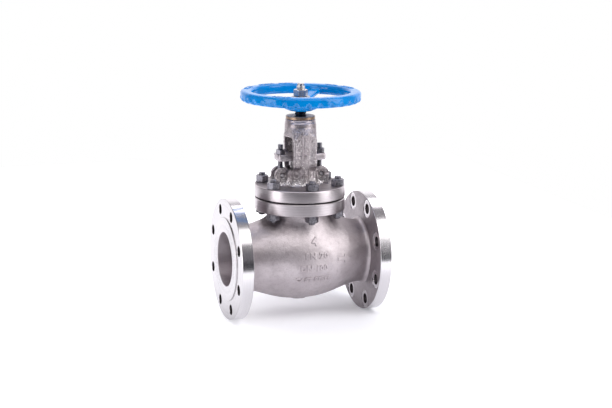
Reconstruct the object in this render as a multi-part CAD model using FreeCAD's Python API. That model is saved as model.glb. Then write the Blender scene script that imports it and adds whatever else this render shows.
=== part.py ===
"""Flanged globe valve with an outside screw and yoke and a rising handwheel.

Millimetres, +Z up along the stem, +X along the flow.
The parts are laid out about the valve's centre, where the flow axis meets the stem axis.
Exporting moves them so that the origin is the centre of the inlet flange's raised face.
"""
import FreeCAD, Part
import math
import os
from FreeCAD import Vector

X = Vector(1, 0, 0)
Y = Vector(0, 1, 0)
Z = Vector(0, 0, 1)
CENTRE = Vector(0, 0, 0)

# Running and assembly clearances, as radii
RUNNING_FIT = 0.05
THREAD_GAP = 0.05
PRESS_GAP = 0.05

# How far a cutter runs past the surface it opens
OVERCUT = 1.0

# Small edge breaks on machined parts
EDGE_BREAK = 1.0

# Nuts: the flat ring inside the corner chamfers, as a share of the inscribed circle
NUT_FACE_SHARE = 0.95
NUT_CHAMFER_DEGREES = 30.0

# End flanges and face-to-face length, both standard sizes
FACE_TO_FACE = 292.1
FLANGE_R = 114.3
FLANGE_THICKNESS = 23.9
RAISED_FACE_R = 78.6
RAISED_FACE_HEIGHT = 1.6
FLANGE_BOLT_CIRCLE_R = 95.25
FLANGE_BOLTS = 8
FLANGE_HOLE_R = 9.55
SPOTFACE_R = 17.0
SPOTFACE_DEPTH = 0.8
PORT_R = 50.8

# Cast body
BARREL_R = 83.0
BARREL_CURVE_R = 208.0
NECK_R = 59.0
WALL = 9.5
BODY_BLEND_R = 8.0
FOOT_PAD_R = 15.0
FOOT_PAD_DEPTH = 2.0
DECK_TOP = 8.0
DECK_BOTTOM = -4.0
DECK_LONG_HALF = 57.0
DECK_SHORT_HALF = 50.0
PARTITION_LONG_REACH = 102.0
PARTITION_SHORT_REACH = 92.0
PARTITION_INLET_TOP = 60.0
PARTITION_OUTLET_BOTTOM = -56.0

# Bonnet joint
BONNET_NECK_R = 57.5
BONNET_BORE_R = 49.5
BONNET_BORE_BOTTOM = 30.0
BONNET_FLANGE_R = 85.4
BONNET_FLANGE_EDGE_R = 1.9
BODY_FLANGE_CHAMFER = 1.2
BODY_FLANGE_BOTTOM = 90.2
BODY_FLANGE_TOP = 112.9
GASKET_THICKNESS = 3.0
GASKET_INNER_R = 51.0
GASKET_OUTER_R = 64.0
BONNET_FLANGE_BOTTOM = BODY_FLANGE_TOP + GASKET_THICKNESS
BONNET_FLANGE_TOP = 137.5
STUD_COUNT = 6
STUD_FIRST_ANGLE = 30.0
STUD_CIRCLE_R = 72.5
STUD_R = 6.3
STUD_HOLE_R = 6.9
STUD_BELOW_NUT = 4.4
STUD_ABOVE_NUT = 5.0
STUD_NUT_FLATS = 22.2
STUD_NUT_HEIGHT = 12.3

# Seat and disc
SEAT_INNER_R = 40.5
SEAT_OUTER_R = 46.0
SEAT_RING_BOTTOM = -2.0
SEAT_TOP = 10.0
SEAT_GAP = 0.1
DISC_R = 46.0
DISC_PILOT_R = 39.5
DISC_PILOT_DEPTH = 3.0
DISC_TOP = 24.0
DISC_HUB_R = 19.5
DISC_HUB_TOP = 46.0
DISC_EDGE = 4.0
DISC_HUB_FLARE = 3.0
DISC_POCKET_R = 15.0
DISC_POCKET_BOTTOM = 27.0
THRUST_PLATE_R = 13.0
THRUST_PLATE_THICKNESS = 2.5
STEM_HEAD_R = 14.5
STEM_HEAD_HEIGHT = 7.0
STEM_HEAD_GAP = 0.1
STEM_HEAD_EDGE = 2.0
DISC_NUT_GAP = 0.3
DISC_NUT_FLATS = 34.0
DISC_NUT_HEAD = 7.0

# Stem
STEM_R = 11.0
BACKSEAT_SHOULDER_R = 15.0
BACKSEAT_SHOULDER_BOTTOM = 68.0
BACKSEAT_SHOULDER_TOP = 77.0
BACKSEAT_CONE = 4.0
SQUARE_FLATS = 17.0
STEM_END_R = 7.8
STEM_TOP = 326.0
STEM_CHAMFER = 1.5

# Bonnet, stuffing box and gland
SPIGOT_R = 49.2
SPIGOT_DEPTH = 6.0
BONNET_HOLLOW_R = 40.0
BONNET_HOLLOW_TOP_R = 30.0
BONNET_HOLLOW_TOP = 122.0
BUSHING_R = 17.0
BUSHING_BOTTOM = 108.0
BUSHING_TOP = 126.0
BUSHING_CONE = 4.0
BUSHING_LIP = 1.5
STUFFING_BOX_R = 18.5
STUFFING_BOX_TOP = 165.0
STEM_PASSAGE_R = 11.6
GLAND_STEM_HOLE_R = 12.0
PACKING_RING_COUNT = 5
PACKING_RING_HEIGHT = 6.2
PACKING_SIDE_GAP = 0.1
FOLLOWER_NOSE_R = 18.2
FOLLOWER_COLLAR_R = 20.5
FOLLOWER_COLLAR_BOTTOM = 172.5
GLAND_BOTTOM = 183.0
GLAND_TOP = 195.0
GLAND_HALF_LENGTH = 47.0
GLAND_HALF_WIDTH = 17.0
GLAND_CORNER_R = 6.0
GLAND_EDGE_CHAMFER = 1.2

# Gland eyebolts
EYEBOLT_X = 38.5
EYEBOLT_R = 4.85
EYEBOLT_HOLE_R = 5.7
EYEBOLT_TOP = 213.0
EYE_Z = 156.0
EYE_R = 10.5
EYE_WIDTH = 14.0
GLAND_NUT_FLATS = 16.0
GLAND_NUT_HEIGHT = 8.4
PIN_R = 4.0
PIN_WALL = 1.3
PIN_SLOT = 1.6
PIN_LENGTH = 27.0
EAR_R = 14.5
EAR_INNER_Y = 7.5
EAR_OUTER_Y = 14.0
EAR_SLOT_FLOOR = 140.0
EAR_FOOT_INNER_X = 23.0

# Yoke
DOME_BASE_R = 35.0
DOME_TOP_R = 28.0
WINDOW_CORNER_R = 4.0
ARM_HALF_WIDTH = 22.5
ARM_INNER_Y = 24.0
ARM_OUTER_Y = 33.0
RIB_HALF_WIDTH = 6.0
RIB_OUTER_Y = 35.0
RIB_TOP = 232.0
WINDOW_TOP = 228.0
SHOULDER_R = 40.5
SHOULDER_BOTTOM = 222.0
SHOULDER_TOP = 246.0
YOKE_BOSS_R = 28.0
YOKE_TOP = 260.5
YOKE_TOP_EDGE = 1.5
YOKE_NUT_R = 17.0
YOKE_NUT_BOTTOM = 226.0
YOKE_NUT_FLANGE_R = 27.4
YOKE_NUT_TOP = 266.0
YOKE_BORE_BOTTOM = 222.0
SET_SCREW_R = 3.0
SET_SCREW_Z = 253.0
SET_SCREW_LENGTH = 9.0
SET_SCREW_SOCKET_FLATS = 3.0
SET_SCREW_SOCKET_DEPTH = 3.0

# Handwheel
WHEEL_R = 112.2
RIM_INNER_R = 91.0
RIM_BOTTOM = 294.0
RIM_TOP = 314.0
RIM_EDGE_R = 5.0
SCALLOP_COUNT = 32
SCALLOP_R = 7.0
SCALLOP_DEPTH = 2.4
SCALLOP_TOP = 303.0
SPOKE_ANGLES = (53.5, 173.5, 293.5)
SPOKE_HALF_WIDTH = 9.0
SPOKE_THICKNESS = 9.0
SPOKE_EDGE_R = 3.0
SPOKE_OVERLAP = 5.0
SPOKE_HUB_Z = 290.0
SPOKE_RIM_Z = 301.0
HUB_R = 20.0
HUB_SKIRT_R = 31.5
HUB_FOOT_R = 22.5
HUB_FLARE_R = 23.0
HUB_BOTTOM = 275.5
HUB_SKIRT_BOTTOM = 279.5
HUB_SKIRT_TOP = 283.0
HUB_FLARE_TOP = 287.0
HUB_TOP = 299.5
SQUARE_RECESS = 1.0
WASHER_R = 17.0
WASHER_THICKNESS = 2.5
WASHER_GAP = 0.3
WHEEL_NUT_FLATS = 24.0
WHEEL_NUT_HEIGHT = 12.5


def cylinder(radius, start, length, axis=Z):
    """Solid cylinder from the point start along axis."""
    return Part.makeCylinder(radius, length, start, axis)


def tube(outer_r, inner_r, bottom, top, x=0.0, y=0.0):
    """Upright tube between two heights."""
    base = Vector(x, y, bottom)
    return cylinder(outer_r, base, top - bottom).cut(cylinder(inner_r, base, top - bottom))


def box(x_range, y_range, z_range):
    """Solid box from its low and high limits."""
    size = [high - low for low, high in (x_range, y_range, z_range)]
    return Part.makeBox(*size, Vector(x_range[0], y_range[0], z_range[0]))


def turned(profile):
    """Solid of revolution about the stem axis, from (radius, height) points."""
    points = [Vector(radius, 0, height) for radius, height in profile]
    outline = Part.makePolygon(points + points[:1])
    return Part.Face(outline).revolve(CENTRE, Z, 360)


def prism(outline, direction):
    """Solid made by extruding a closed outline of points."""
    return Part.Face(Part.makePolygon(outline + outline[:1])).extrude(direction)


def polar(radius, degrees, z=0.0):
    """Point at a radius and an angle about the stem axis."""
    angle = math.radians(degrees)
    return Vector(radius * math.cos(angle), radius * math.sin(angle), z)


def mirrored_in_x(shape):
    """The shape's mirror image on the other side of the stem."""
    return shape.mirror(CENTRE, X)


def hexagon(flats, height, z, x=0.0, y=0.0):
    """Hexagonal prism whose corners are chamfered at both ends."""
    corner_r = flats / math.sqrt(3)
    centre = Vector(x, y, z)
    outline = [polar(corner_r, 30 + 60 * i) + centre for i in range(6)]
    face_r = flats / 2 * NUT_FACE_SHARE
    chamfer = (corner_r - face_r) * math.tan(math.radians(NUT_CHAMFER_DEGREES))
    bevel = turned([(0, 0), (face_r, 0), (corner_r, chamfer), (corner_r, height - chamfer),
                    (face_r, height), (0, height)])
    bevel.translate(centre)
    return prism(outline, Z * height).common(bevel)


def nut(flats, height, bore_r, z, x=0.0, y=0.0):
    """Hexagon nut with a plain bore."""
    bore = cylinder(bore_r, Vector(x, y, z), height)
    return hexagon(flats, height, z, x, y).cut(bore)


def round_edges(shape):
    """The full-circle edges of a turned shape."""
    return [edge for edge in shape.Edges if len(edge.Vertexes) == 1]


def stud_places():
    """Centres of the bonnet studs."""
    step = 360 / STUD_COUNT
    return [polar(STUD_CIRCLE_R, STUD_FIRST_ANGLE + step * i) for i in range(STUD_COUNT)]


def barrel(max_r, curve_r, end_r):
    """Barrel about the flow axis, bulging to max_r, that ends where its radius is end_r."""
    sink = max_r - end_r
    half_length = math.sqrt(curve_r ** 2 - (curve_r - sink) ** 2)
    left = Vector(-half_length, 0, end_r)
    right = Vector(half_length, 0, end_r)
    crown = Part.Arc(left, Vector(0, 0, max_r), right).toShape()
    ends = Part.makePolygon([right, Vector(half_length, 0, 0), Vector(-half_length, 0, 0), left])
    outline = Part.Wire([crown] + ends.Edges)
    return Part.Face(outline).revolve(CENTRE, X, 360), half_length


def end_flange():
    """Outlet flange with its raised face, spot-faced behind each bolt hole."""
    face_x = FACE_TO_FACE / 2
    rim_x = face_x - RAISED_FACE_HEIGHT
    back_x = face_x - FLANGE_THICKNESS
    plate = cylinder(FLANGE_R, Vector(back_x, 0, 0), rim_x - back_x, X)
    plate = plate.makeChamfer(EDGE_BREAK, round_edges(plate))
    raised = cylinder(RAISED_FACE_R, Vector(rim_x, 0, 0), RAISED_FACE_HEIGHT, X)
    flange = plate.fuse(raised)
    for i in range(FLANGE_BOLTS):
        angle = math.radians((i + 0.5) * 360 / FLANGE_BOLTS)
        place = Vector(back_x, math.cos(angle), math.sin(angle))
        place.y *= FLANGE_BOLT_CIRCLE_R
        place.z *= FLANGE_BOLT_CIRCLE_R
        hole = cylinder(FLANGE_HOLE_R, place, FLANGE_THICKNESS, X)
        spotface = cylinder(SPOTFACE_R, place, SPOTFACE_DEPTH, X)
        flange = flange.cut(hole.fuse(spotface))
    return flange


def body_shell():
    """Outside of the casting: barrel, end necks, bonnet neck and foot pad."""
    shell, barrel_half = barrel(BARREL_R, BARREL_CURVE_R, NECK_R)
    back_x = FACE_TO_FACE / 2 - FLANGE_THICKNESS
    run = cylinder(NECK_R, Vector(-back_x, 0, 0), 2 * back_x, X)
    neck = cylinder(BONNET_NECK_R, CENTRE, BODY_FLANGE_BOTTOM)
    pad = cylinder(FOOT_PAD_R, Vector(0, 0, -BARREL_R - FOOT_PAD_DEPTH), BARREL_R)
    shell = shell.fuse([run, neck, pad]).removeSplitter()
    return blend_bonnet_neck(shell)


def blend_bonnet_neck(shell):
    """Round the edge where the upright neck leaves the barrel."""
    def on_neck(edge):
        reach = [math.hypot(v.Point.x, v.Point.y) for v in edge.Vertexes]
        off_neck = max(abs(r - BONNET_NECK_R) for r in reach)
        span = edge.BoundBox
        return off_neck < EDGE_BREAK and span.ZMin > 0 and span.ZMax < BODY_FLANGE_BOTTOM - EDGE_BREAK
    return shell.makeFillet(BODY_BLEND_R, [edge for edge in shell.Edges if on_neck(edge)])


def partition():
    """S-shaped wall that parts the inlet chamber, below, from the outlet chamber, above."""
    upper = [(-PARTITION_SHORT_REACH, PARTITION_INLET_TOP), (-DECK_SHORT_HALF, DECK_TOP),
             (DECK_LONG_HALF, DECK_TOP), (PARTITION_LONG_REACH, PARTITION_OUTLET_BOTTOM)]
    lower = [(PARTITION_SHORT_REACH, PARTITION_OUTLET_BOTTOM), (DECK_SHORT_HALF, DECK_BOTTOM),
             (-DECK_LONG_HALF, DECK_BOTTOM), (-PARTITION_LONG_REACH, PARTITION_INLET_TOP)]
    outline = [Vector(x, -BARREL_R, z) for x, z in upper + lower]
    return prism(outline, Y * 2 * BARREL_R)


def flow_passage():
    """Hollow of the body: two ports, the chamber and the bore that the bonnet closes."""
    chamber, chamber_half = barrel(BARREL_R - WALL, BARREL_CURVE_R - WALL, PORT_R)
    chamber = chamber.cut(partition())
    port_length = FACE_TO_FACE / 2 - chamber_half + OVERCUT
    inlet = cylinder(PORT_R, Vector(-FACE_TO_FACE / 2, 0, 0), port_length, X)
    outlet = cylinder(PORT_R, Vector(FACE_TO_FACE / 2, 0, 0), port_length, -X)
    bore_start = Vector(0, 0, BONNET_BORE_BOTTOM)
    neck_bore = cylinder(BONNET_BORE_R, bore_start, BODY_FLANGE_TOP - BONNET_BORE_BOTTOM)
    hole_start = Vector(0, 0, DECK_BOTTOM - OVERCUT)
    seat_hole = cylinder(SEAT_INNER_R, hole_start, DECK_TOP - DECK_BOTTOM + 2 * OVERCUT)
    recess_start = Vector(0, 0, SEAT_RING_BOTTOM)
    seat_recess = cylinder(SEAT_OUTER_R, recess_start, DECK_TOP - SEAT_RING_BOTTOM + OVERCUT)
    return chamber.fuse([inlet, outlet, neck_bore, seat_hole, seat_recess])


def valve_body():
    """Cast body with its end flanges and bonnet flange."""
    right_flange = end_flange()
    top_height = BODY_FLANGE_TOP - BODY_FLANGE_BOTTOM
    top_flange = cylinder(BONNET_FLANGE_R, Vector(0, 0, BODY_FLANGE_BOTTOM), top_height)
    top_flange = top_flange.makeChamfer(BODY_FLANGE_CHAMFER, round_edges(top_flange))
    body = body_shell().fuse([right_flange, mirrored_in_x(right_flange), top_flange])
    body = body.cut(flow_passage())
    for place in stud_places():
        place.z = BODY_FLANGE_BOTTOM
        body = body.cut(cylinder(STUD_HOLE_R, place, top_height))
    return body


def seat_ring():
    """Ring screwed into the partition, with a raised seating face."""
    return turned([
        (SEAT_INNER_R, SEAT_RING_BOTTOM),
        (SEAT_OUTER_R, SEAT_RING_BOTTOM),
        (SEAT_OUTER_R, SEAT_TOP - EDGE_BREAK),
        (SEAT_OUTER_R - EDGE_BREAK, SEAT_TOP),
        (SEAT_INNER_R + EDGE_BREAK, SEAT_TOP),
        (SEAT_INNER_R, SEAT_TOP - EDGE_BREAK)])


def disc():
    """Disc that closes the seat, with a hub that holds the stem's head."""
    face = SEAT_TOP + SEAT_GAP
    return turned([
        (0, face - DISC_PILOT_DEPTH),
        (DISC_PILOT_R - EDGE_BREAK, face - DISC_PILOT_DEPTH),
        (DISC_PILOT_R, face),
        (DISC_R, face),
        (DISC_R, DISC_TOP - DISC_EDGE),
        (DISC_R - DISC_EDGE, DISC_TOP),
        (DISC_HUB_R + DISC_HUB_FLARE, DISC_TOP),
        (DISC_HUB_R, DISC_TOP + DISC_HUB_FLARE),
        (DISC_HUB_R, DISC_HUB_TOP),
        (DISC_POCKET_R, DISC_HUB_TOP),
        (DISC_POCKET_R, DISC_POCKET_BOTTOM),
        (0, DISC_POCKET_BOTTOM)])


def thrust_plate():
    """Hard plate under the stem's head."""
    return cylinder(THRUST_PLATE_R, Vector(0, 0, DISC_POCKET_BOTTOM), THRUST_PLATE_THICKNESS)


def stem_head_bottom():
    """Height of the stem's lower end, just above the thrust plate."""
    return DISC_POCKET_BOTTOM + THRUST_PLATE_THICKNESS + STEM_HEAD_GAP


def disc_nut():
    """Hexagon nut that screws into the hub and holds the stem's head in it."""
    sleeve_bottom = stem_head_bottom() + STEM_HEAD_HEIGHT + STEM_HEAD_GAP
    bore_r = STEM_R + DISC_NUT_GAP
    sleeve = tube(DISC_POCKET_R - THREAD_GAP, bore_r, sleeve_bottom, DISC_HUB_TOP)
    head = nut(DISC_NUT_FLATS, DISC_NUT_HEAD, bore_r, DISC_HUB_TOP)
    return sleeve.fuse(head)


def stem():
    """Stem in one piece: head, shank with backseat shoulder, square and threaded end."""
    bottom = stem_head_bottom()
    head_top = bottom + STEM_HEAD_HEIGHT
    shank = turned([
        (0, bottom),
        (STEM_HEAD_R - STEM_HEAD_EDGE, bottom),
        (STEM_HEAD_R, bottom + STEM_HEAD_EDGE),
        (STEM_HEAD_R, head_top),
        (STEM_R, head_top),
        (STEM_R, BACKSEAT_SHOULDER_BOTTOM),
        (BACKSEAT_SHOULDER_R, BACKSEAT_SHOULDER_BOTTOM + BACKSEAT_CONE),
        (BACKSEAT_SHOULDER_R, BACKSEAT_SHOULDER_TOP - BACKSEAT_CONE),
        (STEM_R, BACKSEAT_SHOULDER_TOP),
        (STEM_R, HUB_BOTTOM),
        (0, HUB_BOTTOM)])
    half = SQUARE_FLATS / 2
    square = box((-half, half), (-half, half), (HUB_BOTTOM, HUB_TOP - SQUARE_RECESS))
    square = square.common(cylinder(STEM_R, Vector(0, 0, HUB_BOTTOM), HUB_TOP - HUB_BOTTOM))
    end = turned([
        (0, HUB_BOTTOM),
        (STEM_END_R, HUB_BOTTOM),
        (STEM_END_R, STEM_TOP - STEM_CHAMFER),
        (STEM_END_R - STEM_CHAMFER, STEM_TOP),
        (0, STEM_TOP)])
    return shank.fuse([square, end]).removeSplitter()


def yoke():
    """Two arms that rise from the bonnet and join in a round boss, with a window between."""
    outside = turned([
        (0, BONNET_FLANGE_TOP),
        (SHOULDER_R, BONNET_FLANGE_TOP),
        (SHOULDER_R, SHOULDER_BOTTOM),
        (YOKE_BOSS_R, SHOULDER_TOP),
        (YOKE_BOSS_R, YOKE_TOP - YOKE_TOP_EDGE),
        (YOKE_BOSS_R - YOKE_TOP_EDGE, YOKE_TOP),
        (0, YOKE_TOP)])
    arms = box((-ARM_HALF_WIDTH, ARM_HALF_WIDTH), (-ARM_OUTER_Y, ARM_OUTER_Y),
               (BONNET_FLANGE_TOP, SHOULDER_TOP))
    boss = cylinder(YOKE_BOSS_R, Vector(0, 0, SHOULDER_BOTTOM), YOKE_TOP - SHOULDER_BOTTOM)
    rib = box((-RIB_HALF_WIDTH, RIB_HALF_WIDTH), (-RIB_OUTER_Y, RIB_OUTER_Y),
              (BONNET_FLANGE_TOP, RIB_TOP))
    solid = arms.fuse([boss, rib]).common(outside)
    window = box((-WHEEL_R, WHEEL_R), (-ARM_INNER_Y, ARM_INNER_Y), (STUFFING_BOX_TOP, WINDOW_TOP))
    corners = [e for e in window.Edges if e.BoundBox.XLength > WHEEL_R]
    return solid.cut(window.makeFillet(WINDOW_CORNER_R, corners))


def ear_pair():
    """Two ears on the right of the bonnet that hold an eyebolt's pin."""
    outer = cylinder(EAR_R, Vector(EYEBOLT_X, -EAR_OUTER_Y, EYE_Z), 2 * EAR_OUTER_Y, Y)
    foot = box((EAR_FOOT_INNER_X, EYEBOLT_X + EAR_R), (-EAR_OUTER_Y, EAR_OUTER_Y),
               (BONNET_FLANGE_TOP, EYE_Z))
    slot = box((EYEBOLT_X - EYE_R - OVERCUT, EYEBOLT_X + EAR_R + OVERCUT), (-EAR_INNER_Y, EAR_INNER_Y),
               (EAR_SLOT_FLOOR, EYE_Z + EAR_R + OVERCUT))
    pin_start = Vector(EYEBOLT_X, -EAR_OUTER_Y, EYE_Z)
    pin_hole = cylinder(PIN_R + PRESS_GAP, pin_start, 2 * EAR_OUTER_Y, Y)
    return outer.fuse(foot), slot.fuse(pin_hole)


def bonnet():
    """Bonnet and yoke in one casting, with the stuffing box in the middle."""
    height = BONNET_FLANGE_TOP - BONNET_FLANGE_BOTTOM
    flange = cylinder(BONNET_FLANGE_R, Vector(0, 0, BONNET_FLANGE_BOTTOM), height)
    flange = flange.makeFillet(BONNET_FLANGE_EDGE_R, round_edges(flange))
    spigot_bottom = BODY_FLANGE_TOP - SPIGOT_DEPTH
    spigot = cylinder(SPIGOT_R, Vector(0, 0, spigot_bottom), BONNET_FLANGE_BOTTOM - spigot_bottom)
    dome = turned([
        (0, BONNET_FLANGE_TOP),
        (DOME_BASE_R, BONNET_FLANGE_TOP),
        (DOME_TOP_R, STUFFING_BOX_TOP),
        (0, STUFFING_BOX_TOP)])
    ears, ear_cuts = ear_pair()
    casting = flange.fuse([spigot, dome, yoke(), ears, mirrored_in_x(ears)]).removeSplitter()
    hollow = turned([
        (0, spigot_bottom),
        (BONNET_HOLLOW_R, spigot_bottom),
        (BONNET_HOLLOW_TOP_R, BONNET_HOLLOW_TOP),
        (0, BONNET_HOLLOW_TOP)])
    bushing_bore = cylinder(BUSHING_R, Vector(0, 0, BUSHING_BOTTOM), BUSHING_TOP - BUSHING_BOTTOM)
    packing_bore = cylinder(STUFFING_BOX_R, Vector(0, 0, BUSHING_TOP), STUFFING_BOX_TOP - BUSHING_TOP)
    nut_bore = cylinder(YOKE_NUT_R, Vector(0, 0, YOKE_BORE_BOTTOM), YOKE_TOP - YOKE_BORE_BOTTOM)
    screw_hole = cylinder(SET_SCREW_R, Vector(0, 0, SET_SCREW_Z), YOKE_BOSS_R, Y)
    cuts = [ear_cuts, mirrored_in_x(ear_cuts), hollow, bushing_bore, packing_bore, nut_bore, screw_hole]
    for place in stud_places():
        place.z = BONNET_FLANGE_BOTTOM
        cuts.append(cylinder(STUD_HOLE_R, place, height))
    return casting.cut(cuts)


def backseat_bushing():
    """Bushing under the packing: its cone meets the stem's shoulder when fully open."""
    return turned([
        (STEM_PASSAGE_R, BUSHING_TOP),
        (STEM_PASSAGE_R, BUSHING_BOTTOM + BUSHING_CONE),
        (BUSHING_R - BUSHING_LIP, BUSHING_BOTTOM),
        (BUSHING_R - PRESS_GAP, BUSHING_BOTTOM),
        (BUSHING_R - PRESS_GAP, BUSHING_TOP)])


def bonnet_gasket():
    """Flat gasket between the bonnet flanges."""
    return tube(GASKET_OUTER_R, GASKET_INNER_R, BODY_FLANGE_TOP, BONNET_FLANGE_BOTTOM)


def bonnet_studs():
    """Studs that clamp the bonnet."""
    bottom = BODY_FLANGE_BOTTOM - STUD_NUT_HEIGHT - STUD_BELOW_NUT
    top = BONNET_FLANGE_TOP + STUD_NUT_HEIGHT + STUD_ABOVE_NUT
    stud = turned([
        (0, bottom),
        (STUD_R - EDGE_BREAK, bottom),
        (STUD_R, bottom + EDGE_BREAK),
        (STUD_R, top - EDGE_BREAK),
        (STUD_R - EDGE_BREAK, top),
        (0, top)])
    return Part.makeCompound([stud.translated(place) for place in stud_places()])


def bonnet_nuts(z):
    """Ring of heavy hexagon nuts that rest at height z."""
    ring = [nut(STUD_NUT_FLATS, STUD_NUT_HEIGHT, STUD_R + THREAD_GAP, z, place.x, place.y)
            for place in stud_places()]
    return Part.makeCompound(ring)


def packing_rings():
    """Square packing rings stacked round the stem."""
    rings = []
    for i in range(PACKING_RING_COUNT):
        bottom = BUSHING_TOP + i * PACKING_RING_HEIGHT
        rings.append(tube(STUFFING_BOX_R - PACKING_SIDE_GAP, STEM_R + PACKING_SIDE_GAP,
                          bottom, bottom + PACKING_RING_HEIGHT))
    return Part.makeCompound(rings)


def gland_follower():
    """Sleeve that presses on the packing."""
    bottom = BUSHING_TOP + PACKING_RING_COUNT * PACKING_RING_HEIGHT
    return turned([
        (STEM_PASSAGE_R, bottom),
        (FOLLOWER_NOSE_R, bottom),
        (FOLLOWER_NOSE_R, FOLLOWER_COLLAR_BOTTOM),
        (FOLLOWER_COLLAR_R, FOLLOWER_COLLAR_BOTTOM),
        (FOLLOWER_COLLAR_R, GLAND_BOTTOM),
        (STEM_PASSAGE_R, GLAND_BOTTOM)])


def gland_flange():
    """Bar across the stem that the eyebolts pull down on the follower."""
    plate = box((-GLAND_HALF_LENGTH, GLAND_HALF_LENGTH), (-GLAND_HALF_WIDTH, GLAND_HALF_WIDTH),
                (GLAND_BOTTOM, GLAND_TOP))
    height = GLAND_TOP - GLAND_BOTTOM
    plate = plate.makeFillet(GLAND_CORNER_R, [e for e in plate.Edges if e.BoundBox.ZLength > height / 2])
    level = [e for e in plate.Edges if e.BoundBox.ZLength < height / 2]
    plate = plate.makeChamfer(GLAND_EDGE_CHAMFER, level)
    plate = plate.cut(cylinder(GLAND_STEM_HOLE_R, Vector(0, 0, GLAND_BOTTOM), height))
    for x in (-EYEBOLT_X, EYEBOLT_X):
        plate = plate.cut(cylinder(EYEBOLT_HOLE_R, Vector(x, 0, GLAND_BOTTOM), height))
    return plate


def eyebolt():
    """Right-hand eyebolt: a flat eye on the pin and a threaded shank through the gland."""
    eye = cylinder(EYE_R, Vector(EYEBOLT_X, -EYE_WIDTH / 2, EYE_Z), EYE_WIDTH, Y)
    shank = turned([
        (0, EYE_Z),
        (EYEBOLT_R, EYE_Z),
        (EYEBOLT_R, EYEBOLT_TOP - EDGE_BREAK),
        (EYEBOLT_R - EDGE_BREAK, EYEBOLT_TOP),
        (0, EYEBOLT_TOP)])
    shank.translate(X * EYEBOLT_X)
    hole = cylinder(PIN_R + RUNNING_FIT, Vector(EYEBOLT_X, -EYE_WIDTH / 2, EYE_Z), EYE_WIDTH, Y)
    return eye.fuse(shank).cut(hole)


def eyebolt_pin():
    """Right-hand slotted spring pin through the ears and the eye."""
    start = Vector(EYEBOLT_X, -PIN_LENGTH / 2, EYE_Z)
    pin = cylinder(PIN_R, start, PIN_LENGTH, Y).cut(cylinder(PIN_R - PIN_WALL, start, PIN_LENGTH, Y))
    slot = box((EYEBOLT_X, EYEBOLT_X + PIN_R + OVERCUT), (-PIN_LENGTH, PIN_LENGTH),
               (EYE_Z - PIN_SLOT / 2, EYE_Z + PIN_SLOT / 2))
    return pin.cut(slot)


def gland_nut():
    """Right-hand nut on the gland flange."""
    return nut(GLAND_NUT_FLATS, GLAND_NUT_HEIGHT, EYEBOLT_R + THREAD_GAP, GLAND_TOP, EYEBOLT_X)


def yoke_nut():
    """Bronze nut in the yoke's boss, in which the stem's screw turns."""
    return turned([
        (STEM_R + RUNNING_FIT, YOKE_NUT_BOTTOM),
        (YOKE_NUT_R - PRESS_GAP, YOKE_NUT_BOTTOM),
        (YOKE_NUT_R - PRESS_GAP, YOKE_TOP),
        (YOKE_NUT_FLANGE_R, YOKE_TOP),
        (YOKE_NUT_FLANGE_R, YOKE_NUT_TOP - EDGE_BREAK),
        (YOKE_NUT_FLANGE_R - EDGE_BREAK, YOKE_NUT_TOP),
        (STEM_R + EDGE_BREAK, YOKE_NUT_TOP),
        (STEM_R + RUNNING_FIT, YOKE_NUT_TOP - EDGE_BREAK)])


def yoke_nut_set_screw():
    """Grub screw at the back of the boss that keeps the yoke nut from turning."""
    start = Vector(0, YOKE_NUT_R, SET_SCREW_Z)
    screw = cylinder(SET_SCREW_R - PRESS_GAP, start, SET_SCREW_LENGTH, Y)
    corner_r = SET_SCREW_SOCKET_FLATS / math.sqrt(3)
    socket = prism([polar(corner_r, 60 * i) for i in range(6)], Z * (SET_SCREW_SOCKET_DEPTH + OVERCUT))
    socket.rotate(CENTRE, X, -90)
    socket.translate(start + Y * (SET_SCREW_LENGTH - SET_SCREW_SOCKET_DEPTH))
    return screw.cut(socket)


def wheel_rim():
    """Rim with rounded edges and finger scallops round its lower outer side."""
    rim = tube(WHEEL_R, RIM_INNER_R, RIM_BOTTOM, RIM_TOP)
    rim = rim.makeFillet(RIM_EDGE_R, round_edges(rim))
    centre_r = WHEEL_R + SCALLOP_R - SCALLOP_DEPTH
    cutters = []
    for i in range(SCALLOP_COUNT):
        place = polar(centre_r, i * 360 / SCALLOP_COUNT, RIM_BOTTOM)
        cutters.append(cylinder(SCALLOP_R, place, SCALLOP_TOP - RIM_BOTTOM))
    return rim.cut(cutters)


def wheel_spoke(degrees):
    """Spoke that climbs from the hub to the rim."""
    ends = ((HUB_R - SPOKE_OVERLAP, SPOKE_HUB_Z), (RIM_INNER_R + SPOKE_OVERLAP, SPOKE_RIM_Z))
    low = [Vector(r, -SPOKE_HALF_WIDTH, z - SPOKE_THICKNESS / 2) for r, z in ends]
    high = [Vector(r, -SPOKE_HALF_WIDTH, z + SPOKE_THICKNESS / 2) for r, z in reversed(ends)]
    spoke = prism(low + high, Y * 2 * SPOKE_HALF_WIDTH)
    long_edges = [e for e in spoke.Edges if e.BoundBox.XLength > RIM_INNER_R / 2]
    spoke = spoke.makeFillet(SPOKE_EDGE_R, long_edges)
    spoke.rotate(CENTRE, Z, degrees)
    return spoke


def handwheel():
    """Cast handwheel with a square hole for the stem."""
    hub = turned([
        (0, HUB_BOTTOM),
        (HUB_FOOT_R, HUB_BOTTOM),
        (HUB_SKIRT_R, HUB_SKIRT_BOTTOM),
        (HUB_SKIRT_R, HUB_SKIRT_TOP),
        (HUB_FLARE_R, HUB_FLARE_TOP),
        (HUB_R, HUB_TOP),
        (0, HUB_TOP)])
    spokes = [wheel_spoke(degrees) for degrees in SPOKE_ANGLES]
    wheel = hub.fuse([wheel_rim()] + spokes)
    half = SQUARE_FLATS / 2 + RUNNING_FIT
    hole = box((-half, half), (-half, half), (HUB_BOTTOM, HUB_TOP))
    hole = hole.common(cylinder(STEM_R + RUNNING_FIT, Vector(0, 0, HUB_BOTTOM), HUB_TOP - HUB_BOTTOM))
    return wheel.cut(hole)


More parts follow.
